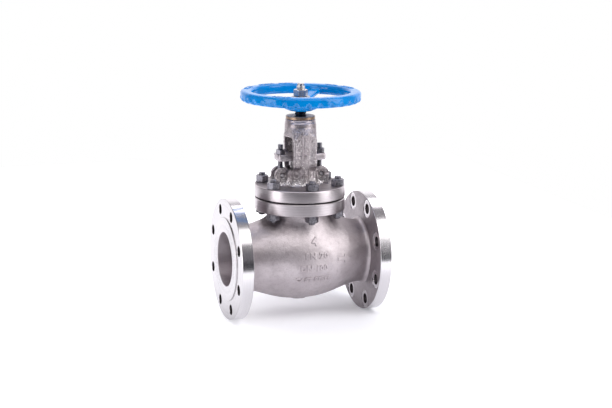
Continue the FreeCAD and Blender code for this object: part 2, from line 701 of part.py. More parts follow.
def handwheel_washer():
    """Washer between the hub and the handwheel nut."""
    return tube(WASHER_R, STEM_END_R + WASHER_GAP, HUB_TOP, HUB_TOP + WASHER_THICKNESS)


def handwheel_nut():
    """Nut that holds the handwheel on the stem's square."""
    return nut(WHEEL_NUT_FLATS, WHEEL_NUT_HEIGHT, STEM_END_R + THREAD_GAP, HUB_TOP + WASHER_THICKNESS)


def export(name, shape):
    """Write one sub-part, moved from the valve's centre to the inlet face."""
    placed = shape.translated(X * FACE_TO_FACE / 2)
    placed.exportStep("parts/" + name + ".step")


def main():
    os.makedirs("parts", exist_ok=True)
    right_eyebolt = eyebolt()
    right_pin = eyebolt_pin()
    right_nut = gland_nut()
    export("valve_body", valve_body())
    export("seat_ring", seat_ring())
    export("bonnet_gasket", bonnet_gasket())
    export("bonnet", bonnet())
    export("backseat_bushing", backseat_bushing())
    export("bonnet_studs", bonnet_studs())
    export("bonnet_nuts_upper", bonnet_nuts(BONNET_FLANGE_TOP))
    export("bonnet_nuts_lower", bonnet_nuts(BODY_FLANGE_BOTTOM - STUD_NUT_HEIGHT))
    export("packing_rings", packing_rings())
    export("gland_follower", gland_follower())
    export("gland_flange", gland_flange())
    export("eyebolt_right", right_eyebolt)
    export("eyebolt_left", mirrored_in_x(right_eyebolt))
    export("eyebolt_pin_right", right_pin)
    export("eyebolt_pin_left", mirrored_in_x(right_pin))
    export("gland_nut_right", right_nut)
    export("gland_nut_left", mirrored_in_x(right_nut))
    export("yoke_nut", yoke_nut())
    export("yoke_nut_set_screw", yoke_nut_set_screw())
    export("disc", disc())
    export("disc_nut", disc_nut())
    export("thrust_plate", thrust_plate())
    export("stem", stem())
    export("handwheel", handwheel())
    export("handwheel_washer", handwheel_washer())
    export("handwheel_nut", handwheel_nut())


main()
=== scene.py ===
"""Looks of the flanged globe valve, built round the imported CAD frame.

Shapes are worked out in millimetres about the valve's centre, where the flow axis (X)
meets the stem axis (Z), and go into the frame in metres.
"""
import bpy
import bmesh
import math
import numpy as np
from mathutils import Matrix, Vector


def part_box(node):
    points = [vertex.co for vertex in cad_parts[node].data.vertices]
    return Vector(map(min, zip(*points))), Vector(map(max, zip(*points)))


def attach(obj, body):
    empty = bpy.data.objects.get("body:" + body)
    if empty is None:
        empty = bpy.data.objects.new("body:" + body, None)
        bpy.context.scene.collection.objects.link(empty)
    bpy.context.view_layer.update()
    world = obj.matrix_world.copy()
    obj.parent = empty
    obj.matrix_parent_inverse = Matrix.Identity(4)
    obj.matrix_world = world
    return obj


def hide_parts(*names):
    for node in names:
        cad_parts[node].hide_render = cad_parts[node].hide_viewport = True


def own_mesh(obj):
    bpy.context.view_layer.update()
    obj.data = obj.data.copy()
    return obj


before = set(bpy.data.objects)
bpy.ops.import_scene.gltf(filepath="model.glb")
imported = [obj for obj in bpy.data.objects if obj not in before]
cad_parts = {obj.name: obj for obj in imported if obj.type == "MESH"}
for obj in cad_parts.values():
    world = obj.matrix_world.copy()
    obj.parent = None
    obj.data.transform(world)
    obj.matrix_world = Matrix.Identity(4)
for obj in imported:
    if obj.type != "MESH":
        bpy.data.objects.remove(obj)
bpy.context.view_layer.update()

MM = 0.001
TAU = 2 * math.pi
VALVE = "valve"
GLAND = "gland"
WHEEL = "stem_and_wheel"


# ---------------- frame sizes, in mm about the centre

body_low, body_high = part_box("valve_body")
CENTRE = np.array([(body_low[0] + body_high[0]) / 2, 0.0, 0.0])


def limits(node):
    """Low and high corners of a CAD node."""
    low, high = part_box(node)
    return (np.array(low) - CENTRE) / MM, (np.array(high) - CENTRE) / MM


def top_of(node):
    return limits(node)[1][2]


def bottom_of(node):
    return limits(node)[0][2]


FACE_X = limits("valve_body")[1][0]
FLANGE_R = -bottom_of("valve_body")
FLANGE_BACK_X = FACE_X - 23.9
RAISED_FACE_R = 78.6
RAISED_FACE_HEIGHT = 1.6
FLANGE_BOLT_CIRCLE_R = 95.25
FLANGE_BOLTS = 8
FLANGE_HOLE_R = 9.55
SPOTFACE_R = 17.0
SPOTFACE_DEPTH = 0.8
PORT_R = 50.8

BARREL_R = 83.0
BARREL_CURVE_R = 208.0
NECK_R = 59.0
WALL = 9.5
BONNET_NECK_R = 57.5
BONNET_BORE_R = 49.5
BONNET_FLANGE_R = 85.4
BODY_FLANGE_BOTTOM = top_of("bonnet_nuts_lower")
BODY_FLANGE_TOP = bottom_of("bonnet_gasket")
BONNET_FLANGE_BOTTOM = top_of("bonnet_gasket")
BONNET_FLANGE_TOP = bottom_of("bonnet_nuts_upper")
SPIGOT_BOTTOM = bottom_of("bonnet")
STUD_CIRCLE_R = 72.5
STUD_R = 6.3
STUD_HOLE_R = 6.9
STUD_ANGLES = [30 + 60 * i for i in range(6)]
STUD_NUT_FLATS = 22.2
STUD_NUT_HEIGHT = top_of("bonnet_nuts_upper") - BONNET_FLANGE_TOP

STUFFING_BOX_R = 18.5
STUFFING_BOX_BOTTOM = bottom_of("packing_rings")
STUFFING_BOX_TOP = 165.0
STEM_R = 11.0
STEM_END_R = 7.8
STEM_TOP = top_of("stem")
GLAND_BOTTOM = bottom_of("gland_flange")
GLAND_TOP = top_of("gland_flange")
GLAND_HALF_LENGTH = limits("gland_flange")[1][0]
GLAND_HALF_WIDTH = limits("gland_flange")[1][1]
EYEBOLT_X = 38.5
EYEBOLT_R = 4.85
EYEBOLT_TOP = top_of("eyebolt_right")
EYE_Z = 156.0
EYE_R = 10.5
EYE_WIDTH = 14.0
EAR_R = 14.5
EAR_OUTER_Y = 14.0
EAR_SLOT_HALF = 7.5
PIN_R = 4.0
GLAND_NUT_FLATS = 16.0
GLAND_NUT_HEIGHT = top_of("gland_nut_right") - GLAND_TOP

ARM_HALF_WIDTH = 22.5
ARM_INNER_Y = 24.0
ARM_OUTER_Y = 33.0
RIB_OUTER_Y = 35.0
WINDOW_TOP = 228.0
SHOULDER_R = 40.5
SHOULDER_BOTTOM = 222.0
SHOULDER_TOP = 246.0
YOKE_BOSS_R = 28.0
YOKE_TOP = top_of("bonnet")
YOKE_NUT_R = 17.0
YOKE_NUT_FLANGE_R = limits("yoke_nut")[1][0]
YOKE_NUT_TOP = top_of("yoke_nut")

WHEEL_R = 112.2
RIM_INNER_R = 91.0
RIM_BOTTOM = 294.0
RIM_TOP = top_of("handwheel")
SCALLOPS = 32
HUB_BOTTOM = bottom_of("handwheel")
HUB_TOP = bottom_of("handwheel_washer")
SPOKE_ANGLES = (53.5, 173.5, 293.5)
WHEEL_NUT_BOTTOM = bottom_of("handwheel_nut")
WHEEL_NUT_HEIGHT = top_of("handwheel_nut") - WHEEL_NUT_BOTTOM


NECK_TOP = 98
SEAT_BORE_R = 40.5
SEAT_RECESS_R = 46.2
COLLAR_Z = 172.5
COLLAR_ROOM_R = 22.5
STEM_PITCH = 5.0
STEM_END_PITCH = 2.0
STUD_PITCH = 1.95
GLAND_PITCH = 1.5
WHEEL_NUT_FLATS = 24
MARK_LIFT = 0.1
BODY_STEP, YOKE_STEP, WHEEL_STEP, EYE_STEP = 1.6, 0.8, 1.15, 0.6


# ---------------- shapes: (points, faces) pairs

def polar(radius, degrees):
    angle = math.radians(degrees)
    return radius * math.cos(angle), radius * math.sin(angle)


def grid_faces(rows, columns, closed_rows):
    """Quads of a grid that wraps round its columns, and round its rows if closed_rows."""
    faces = []
    for i in range(rows if closed_rows else rows - 1):
        following = (i + 1) % rows
        for j in range(columns):
            beside = (j + 1) % columns
            faces.append((i * columns + j, i * columns + beside,
                          following * columns + beside, following * columns + j))
    return faces


def turned_points(rows, segments):
    """Points of rows of (radius, height), each a number or an array over the angle."""
    angle = np.arange(segments) * TAU / segments
    points = []
    for radius, height in rows:
        radius = np.broadcast_to(radius, angle.shape)
        height = np.broadcast_to(height, angle.shape)
        points.append(np.stack([radius * np.cos(angle), radius * np.sin(angle), height], 1))
    return np.concatenate(points)


def ring(rows, segments=96):
    """Closed turned ring about Z, from an outline that never meets the axis."""
    return turned_points(rows, segments), grid_faces(len(rows), segments, True)


def spindle(rows, segments=48):
    """Solid turned about Z, with a fan at each end."""
    points = turned_points(rows, segments)
    faces = grid_faces(len(rows), segments, False)
    first = len(points)
    last_row = (len(rows) - 1) * segments
    ends = np.array([[0, 0, np.mean(rows[0][1])], [0, 0, np.mean(rows[-1][1])]])
    for j in range(segments):
        beside = (j + 1) % segments
        faces.append((first, beside, j))
        faces.append((first + 1, last_row + j, last_row + beside))
    return np.concatenate([points, ends]), faces


def plug(radius, low, high, segments=48):
    return spindle([(radius, low), (radius, high)], segments)


def extruded(outline, low, high):
    """Prism of an (x, y) outline between two heights."""
    count = len(outline)
    flat = np.array(outline, float)
    points = np.concatenate([np.column_stack([flat, np.full(count, z)]) for z in (low, high)])
    sides = grid_faces(2, count, False)
    return points, sides + [tuple(range(count)), tuple(range(count, 2 * count))]


def about_x(shape, side=1):
    """Lay a shape made about Z along X; side -1 gives its mirror image."""
    points, faces = shape
    points = points[:, [2, 0, 1]] * np.array([side, 1, 1])
    return points, faces


def shifted(shape, x=0.0, y=0.0, z=0.0, turn=0.0):
    """Turn a shape about Z, then move it."""
    points, faces = shape
    c, s = polar(1, turn)
    spin = np.array([[c, s, 0], [-s, c, 0], [0, 0, 1]])
    return points @ spin + np.array([x, y, z]), faces


def mirrored(shape):
    points, faces = shape
    return points * np.array([-1, 1, 1]), faces


def together(shapes):
    """Several shapes as one."""
    points, faces, start = [], [], 0
    for some_points, some_faces in shapes:
        points.append(some_points)
        faces.extend([tuple(i + start for i in face) for face in some_faces])
        start += len(some_points)
    return np.concatenate(points), faces


def hex_nut(flats, height, bore_r):
    """Hexagon nut with chamfered corners, as (points, faces) from height 0."""
    segments = 72
    angle = np.arange(segments) * TAU / segments
    fold = (angle + TAU / 12) % (TAU / 6) - TAU / 12
    corner_r = flats / math.sqrt(3)
    side = np.minimum(flats / 2 / np.cos(fold), corner_r * 0.985)
    face_r = flats / 2 * 0.96
    slope = math.tan(math.radians(28))
    chamfer = (side - face_r) * slope
    bevel = 0.8
    rows = [(bore_r, bevel), (bore_r + bevel, 0), (face_r, 0), (side, chamfer),
            (side, height - chamfer), (face_r, height), (bore_r + bevel, height),
            (bore_r, height - bevel)]
    return ring(rows, segments)


def screw_rows(radius, depth, pitch, low, high, segments, chamfer=0.0, flat=0.35, per_pitch=6):
    """Rows of a thread between two heights, its ends chamfered."""
    angle = np.arange(segments) / segments
    count = max(2, int((high - low) / pitch * per_pitch))
    rows = []
    for z in np.linspace(low, high, count + 1):
        phase = (z / pitch - angle) % 1.0
        slope = np.clip((np.abs(phase - 0.5) * 2 - flat) / (1 - 2 * flat), 0, 1)
        crest = radius - depth * slope
        if chamfer:
            crest = np.minimum(crest, radius - chamfer + (high - z))
        rows.append((crest, z))
    return rows


# ---------------- mesh objects

def new_object(name, data):
    """Object of some data, in the scene."""
    made = bpy.data.objects.new(name, data)
    bpy.context.scene.collection.objects.link(made)
    return made


def shade(mesh, angle):
    """Shade smooth, but keep edges sharper than an angle in degrees."""
    mesh.shade_smooth()
    if angle:
        mesh.set_sharp_from_angle(angle=math.radians(angle))


def place(name, shape, smooth_angle=38.0, repair=True):
    """Make a mesh object from a shape."""
    points, faces = shape
    mesh = bpy.data.meshes.new(name)
    world = np.asarray(points, float) * MM + CENTRE
    if isinstance(faces, np.ndarray):
        faces = faces.tolist()
    mesh.from_pydata(world.tolist(), [], faces)
    mesh.update()
    if repair:
        shell = bmesh.new()
        shell.from_mesh(mesh)
        bmesh.ops.recalc_face_normals(shell, faces=shell.faces)
        shell.to_mesh(mesh)
        shell.free()
    shade(mesh, smooth_angle)
    return new_object(name, mesh)


def finish_piece(piece, material, slot, body, *nodes):
    """Give a piece its material and body, and hide the CAD nodes that it stands for. Its slot is not used."""
    piece.data.materials.clear()
    piece.data.materials.append(material)
    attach(piece, body)
    if nodes:
        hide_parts(*nodes)


def stand_in(node, shape, material, slot, body, smooth_angle=38.0):
    """Make a piece that stands for a CAD node and has its name."""
    finish_piece(place(node, shape, smooth_angle), material, slot, body, node)


def bake(piece):
    """Replace a mesh by its own modifiers' result."""
    graph = bpy.context.evaluated_depsgraph_get()
    result = bpy.data.meshes.new_from_object(piece.evaluated_get(graph))
    result.name = piece.name
    piece.modifiers.clear()
    piece.data = result


def soften(piece, width, angle):
    """Round a mesh's edges that are sharper than an angle in degrees."""
    bevel = piece.modifiers.new("bevel", "BEVEL")
    bevel.width = width * MM
    bevel.segments = 2
    bevel.limit_method = "ANGLE"
    bevel.angle_limit = math.radians(angle)
    bake(piece)
    shade(piece.data, 32)


def cut(piece, shape):
    """Cut a shape out of a piece."""
    cutter = place(piece.name + "_cutter", shape)
    hole = piece.modifiers.new("cut", "BOOLEAN")
    hole.operation = "DIFFERENCE"
    hole.solver = "EXACT"
    hole.object = cutter
    bake(piece)
    bpy.data.objects.remove(cutter)


# ---------------- castings, as distance fields

def join(a, b, blend):
    """Union of two fields with a fillet."""
    share = np.maximum(blend - np.abs(a - b), 0) / blend
    return np.minimum(a, b) - share * share * blend / 4


def trim(a, b, blend):
    """What is in both fields, with a rounded edge."""
    return -join(-a, -b, blend)


def carve(a, b, blend):
    """Field a with b taken out, with a rounded edge."""
    return trim(a, -b, blend)


def disc_field(radial, along, radius, low, high):
    """Cylinder: radial is the distance from its axis, along the place on it."""
    across = radial - radius
    ends = np.abs(along - (low + high) / 2) - (high - low) / 2
    outside = np.hypot(np.maximum(across, 0), np.maximum(ends, 0))
    return outside + np.minimum(np.maximum(across, ends), 0)


def block_field(offsets, half, rounding):
    """Box with rounded edges, from the offsets from its centre."""
    parts = [np.abs(v) - (h - rounding) for v, h in zip(offsets, half)]
    outside = np.sqrt(sum(np.maximum(p, 0) ** 2 for p in parts))
    inside = np.minimum(np.maximum(np.maximum(parts[0], parts[1]), parts[-1]), 0)
    return outside + inside - rounding


class Grain:
    """Smooth random field made from a seeded lattice."""

    def __init__(self, seed, size=24):
        self.size = size
        self.values = np.random.default_rng(seed).uniform(-1, 1, (size, size, size)).astype(np.float32)

    def at(self, x, y, z, cell):
        """Value at a place, for lumps about one cell wide."""
        x, y, z = np.broadcast_arrays(x / cell + 0.37, y / cell + 0.71, z / cell + 0.13)
        result = 0
        low = [np.floor(v).astype(np.int32) for v in (x, y, z)]
        part = [v - l for v, l in zip((x, y, z), low)]
        part = [p * p * (3 - 2 * p) for p in part]
        for corner in range(8):
            bits = [(corner >> b) & 1 for b in range(3)]
            index = [(l + b) % self.size for l, b in zip(low, bits)]
            weight = 1
            for p, b in zip(part, bits):
                weight = weight * (p if b else 1 - p)
            result = result + weight * self.values[index[0], index[1], index[2]]
        return result


def surface_net(field, low, high, step):
    """Vertices and quads of the surface where a field is zero."""
    axes = [np.arange(l, h + step, step) for l, h in zip(low, high)]
    x, y, z = np.meshgrid(*axes, indexing="ij", sparse=True)
    values = np.broadcast_to(field(x, y, z), [len(a) for a in axes]).astype(np.float32)
    inside = values < 0
    cells = [n - 1 for n in values.shape]

    def corner(array, bits):
        return array[tuple(slice(b, b + n) for b, n in zip(bits, cells))]

    corners = [((c >> 0) & 1, (c >> 1) & 1, (c >> 2) & 1) for c in range(8)]
    count = sum(corner(inside, bits).astype(np.int8) for bits in corners)
    active = np.argwhere((count > 0) & (count < 8))
    number = np.full(cells, -1)
    number[tuple(active.T)] = np.arange(len(active))
    at = np.stack([values[tuple((active + bits).T)] for bits in corners], 1)
    total = np.zeros((len(active), 3))
    crossings = np.zeros(len(active))
    for a in range(8):
        for axis in range(3):
            if corners[a][axis]:
                continue
            b = a + (1 << axis)
            crossing = (at[:, a] < 0) != (at[:, b] < 0)
            gap = np.where(crossing, at[:, a] - at[:, b], 1)
            part = np.where(crossing, at[:, a] / gap, 0)
            spot = np.tile(np.array(corners[a], float), (len(active), 1))
            spot[:, axis] += part
            total += spot * crossing[:, None]
            crossings += crossing
    points = (active + total / crossings[:, None]) * step + np.array([a[0] for a in axes])

    faces = []
    for axis in range(3):
        u, v = (axis + 1) % 3, (axis + 2) % 3
        first = [slice(None)] * 3
        second = [slice(None)] * 3
        first[axis], second[axis] = slice(0, -1), slice(1, None)
        for other in (u, v):
            first[other] = second[other] = slice(1, -1)
        start, end = inside[tuple(first)], inside[tuple(second)]
        edges = np.argwhere(start != end)
        outward = start[tuple(edges.T)]
        for other in (u, v):
            edges[:, other] += 1
        quad = []
        for du, dv in ((-1, -1), (0, -1), (0, 0), (-1, 0)):
            corner_at = edges.copy()
            corner_at[:, u] += du
            corner_at[:, v] += dv
            quad.append(number[tuple(corner_at.T)])
        quad = np.stack(quad, 1)
        quad[~outward] = quad[~outward][:, ::-1]
        faces.append(quad)
    return settle(field, points, step), np.concatenate(faces)


def settle(field, points, step):
    """Move points on to the surface along the field's slope."""
    tiny = 0.02
    for _ in range(2):
        x, y, z = points.T
        value = field(x, y, z)
        slope = np.stack([field(x + tiny, y, z) - value,
                          field(x, y + tiny, z) - value,
                          field(x, y, z + tiny) - value], 1) / tiny
        steep = np.maximum((slope ** 2).sum(1), 0.05)
        move = -(value / steep)[:, None] * slope
        length = np.linalg.norm(move, axis=1)
        points = points + move * np.minimum(1, 0.6 * step / np.maximum(length, 1e-9))[:, None]
    return points


def casting(name, field, low, high, step, smooth_angle=None):
    """Mesh object of a field's surface."""
    return place(name, surface_net(field, low, high, step), smooth_angle, repair=False)


grain = Grain(7)


# ---------------- finishes

class Nodes:
    """Short ways to add nodes to a tree."""

    def __init__(self, tree):
        self.tree = tree

    def feed(self, socket, value):
        """Link a socket to an output, or set it to a number or colour."""
        if isinstance(value, bpy.types.NodeSocket):
            self.tree.links.new(value, socket)
        else:
            socket.default_value = value

    def add(self, kind, inputs=None, **settings):
        node = self.tree.nodes.new("ShaderNode" + kind)
        for key, value in settings.items():
            setattr(node, key, value)
        for key, value in (inputs or {}).items():
            self.feed(node.inputs[key], value)
        return node

    def math(self, operation, a, b=0.0):
        return self.add("Math", {0: a, 1: b}, operation=operation).outputs[0]

    def times(self, a, b):
        return self.math("MULTIPLY", a, b)

    def span(self, value, low, high, to_low=0.0, to_high=1.0, smooth=False):
        """Map a value's range from low to high on to another, and hold it there outside."""
        node = self.add("MapRange", {"Value": value, "From Min": low, "From Max": high,
                                     "To Min": to_low, "To Max": to_high},
                        interpolation_type="SMOOTHSTEP" if smooth else "LINEAR")
        return node.outputs["Result"]

    def mix(self, share, a, b):
        """Blend two colours."""
        node = self.add("Mix", data_type="RGBA")
        for key, value in ((0, share), (6, a), (7, b)):
            self.feed(node.inputs[key], (*value, 1) if isinstance(value, tuple) else value)
        return node.outputs[2]

    def tint(self, base, value, low, high, colour, most=1.0):
        """Go from a base colour towards another as a value goes from low to high."""
        return self.mix(self.span(value, low, high, 0, most), base, colour)


class Finish(Nodes):
    """Builds one procedural material. Its nodes work in mm about the valve's centre."""

    def __init__(self, name, colour, metallic, roughness):
        self.material = bpy.data.materials.new(name)
        self.material.use_nodes = True
        super().__init__(self.material.node_tree)
        self.shader = self.tree.nodes["Principled BSDF"]
        self.set(Base_Color=(*colour, 1), Metallic=metallic, Roughness=roughness)
        where = self.add("TexCoord").outputs["Object"]
        moved = self.add("VectorMath", {0: where, 1: tuple(CENTRE)}, operation="SUBTRACT")
        scaled = self.add("VectorMath", {0: moved.outputs[0], "Scale": 1 / MM}, operation="SCALE")
        self.place = scaled.outputs[0]
        self.x, self.y, self.z = self.add("SeparateXYZ", {0: self.place}).outputs[:3]

    def set(self, **values):
        """Feed the shader's sockets, named with _ for each space."""
        for key, value in values.items():
            self.feed(self.shader.inputs[key.replace("_", " ")], value)

    def noise(self, size, detail=3.0, rough=0.55, stretch=(1, 1, 1), shift=0.0):
        """Noise about size mm wide, stretched along the axes where stretch is small."""
        scaled = self.add("VectorMath", {0: self.place, 1: stretch}, operation="MULTIPLY")
        moved = self.add("VectorMath", {0: scaled.outputs[0], 1: (shift, shift, shift)}, operation="ADD")
        return self.add("TexNoise", {"Vector": moved.outputs[0], "Scale": 1 / size, "Detail": detail,
                                     "Roughness": rough}).outputs["Fac"]

    def line_noise(self, value, size, detail):
        """Noise along one number, in mm."""
        return self.add("TexNoise", {"W": value, "Scale": 1 / size, "Detail": detail},
                        noise_dimensions="1D").outputs["Fac"]

    def pits(self, size):
        """Distance to the middle of scattered cells, for grit and pock marks."""
        return self.add("TexVoronoi", {"Vector": self.place, "Scale": 1 / size}).outputs["Distance"]

    def mix_value(self, share, a, b):
        return self.add("Mix", {0: share, 2: a, 3: b}, data_type="FLOAT").outputs[0]

    def radius(self, a, b):
        """Distance from the axis that is square to both given coordinates."""
        return self.math("SQRT", self.math("ADD", self.times(a, a), self.times(b, b)))

    def turned(self, axis, amount):
        """Stretch highlights across the turning marks about an axis."""
        tangent = self.add("Tangent", direction_type="RADIAL", axis=axis).outputs[0]
        self.set(Tangent=tangent, Anisotropic=amount, Anisotropic_Rotation=0.25)

    def done(self, colour, roughness, *dents):
        """The material. Each dent is a height between 0 and 1, and how many mm deep it goes."""
        self.set(Base_Color=colour, Roughness=roughness)
        bump = {}
        for height, depth in dents:
            node = self.add("Bump", {"Height": height, "Distance": depth * MM, "Strength": 1.0, **bump})
            bump = {"Normal": node.outputs["Normal"]}
        self.set(**bump)
        return self.material


def cast_look(f, warm, pale, dark, rough_low, rough_high):
    """Colour, roughness and grit of a blasted casting."""
    patches = f.noise(9, 4, shift=31)
    grains = f.noise(1.7, 3, 0.7, shift=57)
    base = f.tint(warm, f.noise(38, 3), 0.35, 0.65, pale)
    base = f.tint(base, patches, 0.5, 0.75, dark, 0.22)
    base = f.tint(base, grains, 0.52, 0.75, dark, 0.75)
    return base, f.span(patches, 0.3, 0.7, rough_low, rough_high), grains


def body_finish():
    """Blasted and pickled stainless casting: matt, slightly pink, with soft mottling, its bore and inside
    painted paler as painted light.
    """
    f = Finish("cast_steel_body", (0.42, 0.39, 0.375), 1.0, 0.45)
    base, rough, grains = cast_look(f, (0.46, 0.415, 0.435), (0.54, 0.495, 0.515),
                                    (0.31, 0.272, 0.285), 0.42, 0.54)
    # painted light: the inside of the body and the port bore are painted paler than the outer skin, to lift
    # them out of their shade
    reach = f.radius(f.y, f.z)
    inside = f.times(f.span(reach, 74.5, 72.5), f.span(f.radius(f.x, f.y), 52, 50))
    hollow = f.math("MAXIMUM", inside, f.span(reach, 52.5, 51.5))
    base = f.mix(f.times(hollow, 0.75), base, (0.50, 0.45, 0.475))
    return f.done(base, rough, (f.noise(7, 3, shift=11), 0.6), (grains, 0.26), (f.pits(2.6), 0.10))


def yoke_finish():
    """The bonnet's rougher casting, with pale painted glints, most of them at its foot, and calmer towards
    the top.
    """
    f = Finish("cast_steel_yoke", (0.42, 0.40, 0.39), 1.0, 0.4)
    base, rough, grains = cast_look(f, (0.34, 0.30, 0.315), (0.46, 0.42, 0.44),
                                    (0.18, 0.155, 0.165), 0.30, 0.46)
    glints = f.noise(2.6, 2, 0.6, shift=83)
    # painted highlight: pale specks are painted where the glint noise is high
    base = f.tint(base, glints, 0.58, 0.72, (0.82, 0.80, 0.79), 0.8)
    base = f.tint(base, f.noise(6, 3, 0.6, shift=19), 0.56, 0.70, (0.13, 0.11, 0.10), 0.6)
    # painted highlight: near-white glints are painted on the casting's foot, where it also turns glossier
    low = f.times(f.span(f.z, 154, 141), f.span(f.noise(2.4, 2, 0.5, shift=29), 0.46, 0.56))
    base = f.mix(f.times(low, 0.95), base, (0.95, 0.93, 0.93))
    collar = f.span(f.z, 236, 250, smooth=True)
    base = f.mix(f.times(collar, 0.75), base, (0.38, 0.335, 0.35))
    rough = f.mix_value(collar, f.mix_value(low, rough, 0.24), 0.40)
    still = f.span(collar, 0, 1, 1, 0.30)
    dents = ((f.noise(4.2, 3, 0.6, shift=5), 1.3), (glints, 1.0), (grains, 0.25))
    return f.done(base, rough, *[(f.times(height, still), depth) for height, depth in dents])


def end_flange_finish():
    """Bright turned flange about X, cast behind, with spotfaces and a serrated raised face. Painted shade
    darkens its front faces, its bolt holes and, on top of the cast colour, its back; painted light makes its
    bore paler.
    """
    f = Finish("turned_end_flange", (0.78, 0.78, 0.785), 1.0, 0.25)
    reach, depth = f.radius(f.y, f.z), f.math("ABSOLUTE", f.x)
    behind = f.span(depth, FLANGE_BACK_X + 0.15, FLANGE_BACK_X + 0.45, 1, 0)
    bore = f.span(reach, PORT_R + 0.3, PORT_R + 0.7, 1, 0)
    rough_cast = f.math("MAXIMUM", behind, bore)
    marks = f.line_noise(f.math("ADD", reach, f.times(depth, 1.7)), 1.6, 4)
    broad = f.line_noise(f.math("SUBTRACT", reach, depth), 9, 2)
    bright = f.tint((0.58, 0.565, 0.58), marks, 0.3, 0.7, (0.66, 0.64, 0.66))
    bright = f.tint(bright, broad, 0.42, 0.62, (0.52, 0.51, 0.53), 0.25)
    bright = f.tint(bright, f.noise(16, 4, 0.6, shift=71), 0.56, 0.75, (0.52, 0.49, 0.51), 0.3)
    # painted shade: the front faces are given a darker colour than the rim, to keep them from glaring
    face = f.tint((0.40, 0.385, 0.40), marks, 0.3, 0.7, (0.50, 0.48, 0.50))
    face = f.tint(face, broad, 0.40, 0.62, (0.37, 0.355, 0.37), 0.5)
    face_x = FACE_X - RAISED_FACE_HEIGHT
    bright = f.tint(bright, depth, face_x - 0.5, face_x - 0.2, face)
    # the cast back and bore: the back is painted darker than the body's casting, partly as painted shade
    base, rough, grains = cast_look(f, (0.265, 0.235, 0.25), (0.33, 0.295, 0.315),
                                    (0.17, 0.15, 0.16), 0.42, 0.55)
    # painted light: the bore is painted paler than the cast back
    base = f.mix(f.times(bore, 0.8), base, (0.56, 0.51, 0.54))
    base = f.mix(rough_cast, bright, base)
    eighth = math.pi / FLANGE_BOLTS
    fold = f.math("SUBTRACT", eighth, f.math("PINGPONG", f.math("ARCTAN2", f.z, f.y), eighth))
    hole = f.radius(f.math("SUBTRACT", f.times(reach, f.math("COSINE", fold)), FLANGE_BOLT_CIRCLE_R),
                    f.times(reach, f.math("SINE", fold)))
    spotface = f.times(f.span(hole, 15.4, 14.6, 0, 0.75), f.span(depth, FLANGE_BACK_X + 3, FLANGE_BACK_X + 2))
    base = f.mix(spotface, base, (0.36, 0.325, 0.345))
    # painted shade: the walls of the bolt holes are painted dark
    base = f.tint(base, hole, 10.2, 9.7, (0.15, 0.13, 0.14), 0.85)
    serrated = f.times(f.span(reach, RAISED_FACE_R, RAISED_FACE_R - 1),
                       f.span(depth, FACE_X - 0.4, FACE_X - 0.2))
    wave = f.span(f.math("SINE", f.times(reach, TAU / 0.8)), -1, 1)
    f.turned("X", 0.45)
    return f.done(base, f.mix_value(rough_cast, f.span(marks, 0.3, 0.7, 0.18, 0.25), rough),
                  (f.times(wave, serrated), 0.05), (f.times(marks, f.span(rough_cast, 0, 1, 1, 0)), 0.012),
                  (f.times(grains, rough_cast), 0.3))


def bonnet_flange_finish():
    """Satin turned rim about Z, with the duller and darker skin of the casting above and below, its darkness
    partly painted shade.
    """
    f = Finish("turned_bonnet_flange", (0.55, 0.53, 0.52), 1.0, 0.35)
    reach = f.radius(f.x, f.y)
    rim = f.span(reach, BONNET_FLANGE_R - 2.2, BONNET_FLANGE_R - 1.4)
    marks = f.line_noise(f.math("ADD", f.z, f.times(reach, 0.6)), 1.1, 4)
    bright = f.tint((0.44, 0.40, 0.42), marks, 0.3, 0.7, (0.60, 0.565, 0.59))
    bright = f.tint(bright, f.noise(14, 3, 0.6, shift=43), 0.55, 0.75, (0.40, 0.36, 0.375), 0.4)
    # partly painted shade: the cast skin above and below the rim is painted much darker than the body's
    # casting
    base, rough, grains = cast_look(f, (0.225, 0.2, 0.21), (0.28, 0.25, 0.265),
                                    (0.15, 0.13, 0.14), 0.40, 0.52)
    f.turned("Z", 0.4)
    return f.done(f.mix(rim, base, bright), f.mix_value(rim, rough, f.span(marks, 0.3, 0.7, 0.28, 0.40)),
                  (f.times(marks, rim), 0.03), (f.times(grains, f.span(rim, 0, 1, 1, 0)), 0.22))


def turned_finish(name, pale, dark, rough):
    """Small turned part: marks round the axis and a few stains."""
    f = Finish(name, pale, 1.0, rough)
    marks = f.line_noise(f.math("ADD", f.z, f.radius(f.x, f.y)), 0.7, 3)
    stains = f.noise(5, 4, 0.6)
    base = f.tint(f.tint(dark, marks, 0.35, 0.65, pale), stains, 0.5, 0.72, dark, 0.5)
    f.turned("Z", 0.3)
    return f.done(base, f.span(stains, 0.35, 0.65, rough - 0.06, rough + 0.08), (marks, 0.02))


def fastener_finish():
    """Dull bluish steel bolting, with darker specks."""
    f = Finish("bolting_steel", (0.25, 0.24, 0.27), 1.0, 0.4)
    patches = f.noise(3.2, 4, 0.6)
    specks = f.noise(0.9, 2, 0.6, shift=9)
    base = f.tint((0.15, 0.145, 0.17), patches, 0.35, 0.65, (0.32, 0.31, 0.34))
    base = f.tint(base, specks, 0.58, 0.72, (0.12, 0.12, 0.13), 0.6)
    return f.done(base, f.span(patches, 0.3, 0.7, 0.30, 0.46), (specks, 0.06), (patches, 0.12))


def gland_finish():
    """Forged and satin-ground gland flange, scratched along its length."""
    f = Finish("gland_flange_steel", (0.50, 0.48, 0.47), 1.0, 0.42)
    patches = f.noise(7, 4, 0.6)
    scratches = f.noise(0.8, 2, 0.6, stretch=(0.12, 1, 1))
    base = f.tint((0.40, 0.36, 0.38), patches, 0.35, 0.65, (0.54, 0.50, 0.525))
    base = f.tint(base, scratches, 0.55, 0.75, (0.31, 0.275, 0.29), 0.4)
    return f.done(base, f.span(patches, 0.3, 0.7, 0.36, 0.50), (scratches, 0.05), (patches, 0.18))


